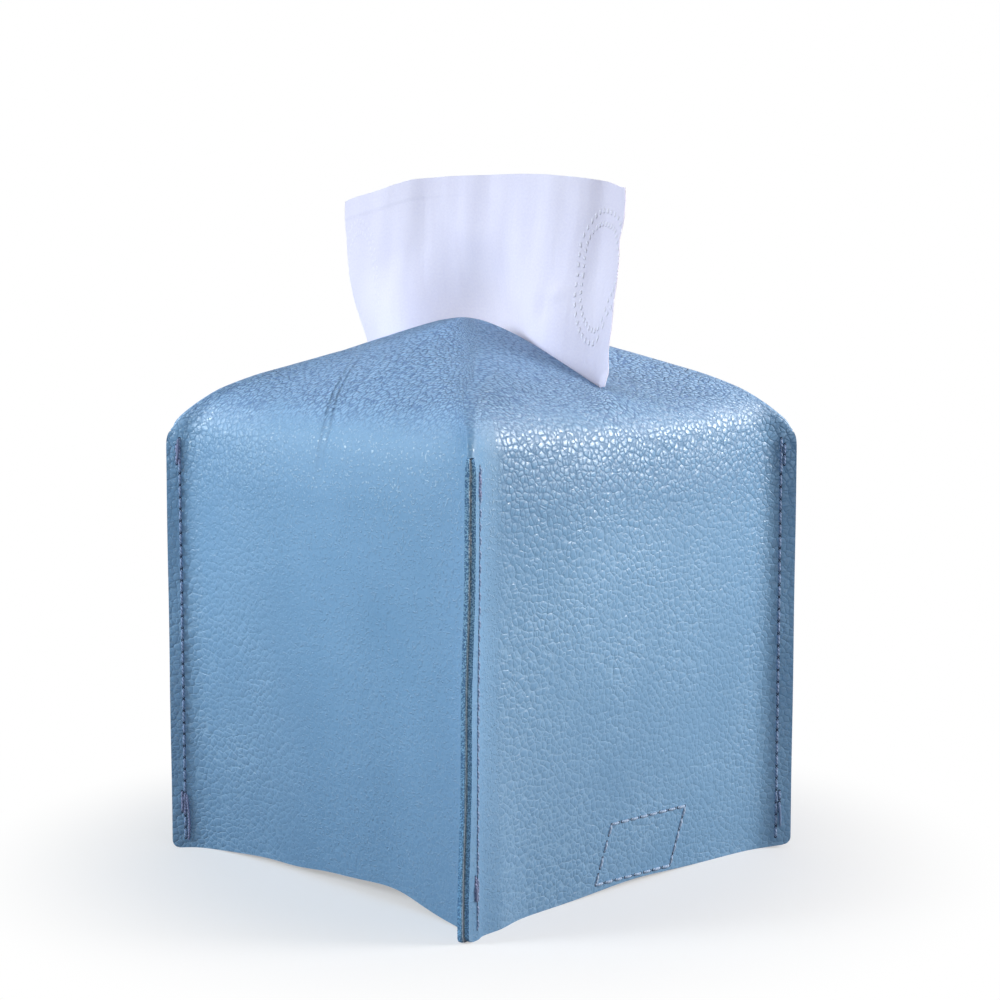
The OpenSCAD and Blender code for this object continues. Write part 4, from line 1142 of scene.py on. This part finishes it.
# Stage: a white sweep under an even sky, a soft key light behind on the right and one on the left
# with a weak fill between them, and the camera where the photograph was taken from. The sweep is
# clear from below, and lets the sky's light into the open bottom.
FLOOR_HALF = 6
floor_mesh = bpy.data.meshes.new("floor")
floor_corners = [(x * FLOOR_HALF, y * FLOOR_HALF, 0) for x, y in ((-1, -1), (1, -1), (1, 1), (-1, 1))]
floor_mesh.from_pydata(floor_corners, [], [(0, 1, 2, 3)])
floor = placed("floor", floor_mesh)


def seen_directly(tree):
    """1 for what the camera, a mirror or glass sees, 0 for the light that falls on things."""
    ray = put(tree, "ShaderNodeLightPath").outputs
    seen = sums(tree, "MAXIMUM", ray["Is Camera Ray"], ray["Is Glossy Ray"])
    return sums(tree, "MAXIMUM", seen, ray["Is Transmission Ray"])


def mixed_shader(tree, share, a, b):
    return result(tree, "ShaderNodeMixShader", {0: share, 1: a, 2: b})


material = bpy.data.materials.new("white_sweep")
material.use_nodes = True
tree = material.node_tree
tree.nodes.clear()
distance = put(tree, "ShaderNodeVectorMath", {0: here(tree)}, operation="LENGTH").outputs["Value"]
away = in_range(tree, distance, .07, .16, .4, 1.0)
pale = blend_colour(tree, seen_directly(tree), (.2, .2, .21, 1), (.9, .9, .91, 1))
paint = result(tree, "ShaderNodeBsdfDiffuse", {"Color": pale})
white = result(tree, "ShaderNodeEmission", {"Color": (1, 1, 1, 1), "Strength": 1.0})
sweep = mixed_shader(tree, times(tree, away, seen_directly(tree)), paint, white)
ray = put(tree, "ShaderNodeLightPath").outputs
passing = sums(tree, "MAXIMUM", ray["Is Diffuse Ray"], ray["Is Shadow Ray"])
inside = times(tree, in_range(tree, distance, .05, .06, 1.0, 0.0), passing)
under = sums(tree, "MAXIMUM", put(tree, "ShaderNodeNewGeometry").outputs["Backfacing"], inside)
clear = result(tree, "ShaderNodeBsdfTransparent")
feed(tree, put(tree, "ShaderNodeOutputMaterial"), {0: mixed_shader(tree, under, sweep, clear)})
give_materials(floor, material)

world = bpy.data.worlds.new("studio")
bpy.context.scene.world = world
world.use_nodes = True
tree = world.node_tree
tree.nodes.clear()
backdrop = result(tree, "ShaderNodeBackground", {"Color": (1, 1, 1, 1), "Strength": 1.0})
sky = result(tree, "ShaderNodeBackground", {"Color": (.94, .96, 1, 1), "Strength": .34})
feed(tree, put(tree, "ShaderNodeOutputWorld"), {0: mixed_shader(tree, seen_directly(tree), sky, backdrop)})


def studio_light(name, azimuth, elevation, away, aim, size, spread, power, colour):
    """It looks at the point at the height aim on the cover's middle line, and its grid narrows its
    cone to spread degrees."""
    data = bpy.data.lights.new(name, "AREA")
    data.shape, data.size, data.energy, data.color, data.spread = "DISK", size, power, colour, math.radians(spread)
    light = placed(name, data)
    turn, tilt = math.radians(azimuth), math.radians(elevation)
    level = away * math.cos(tilt)
    light.location = (level * math.sin(turn), -level * math.cos(turn), aim + away * math.sin(tilt))
    light.rotation_euler = (math.pi / 2 - tilt, 0, turn)


studio_light("right_softbox", 134, 20, .75, .12, .4, 50, .68, (1, .96, .93))
studio_light("left_softbox", -33, 22, .8, .12, .4, 44, .52, (.84, .94, 1))
studio_light("front_fill", 66, 10, .9, .12, .5, 50, .07, (.94, .97, 1))

camera_data = bpy.data.cameras.new("camera")
camera_data.lens, camera_data.sensor_width = 75.35, 36
camera_data.clip_start, camera_data.clip_end = .01, 30
camera = placed("camera", camera_data)
camera.location = (.4455, -.4340, .1746)
camera.rotation_euler = (math.radians(83.71), 0, math.radians(45.2))
bpy.context.scene.camera = camera
bpy.context.scene.view_settings.view_transform = "Standard"
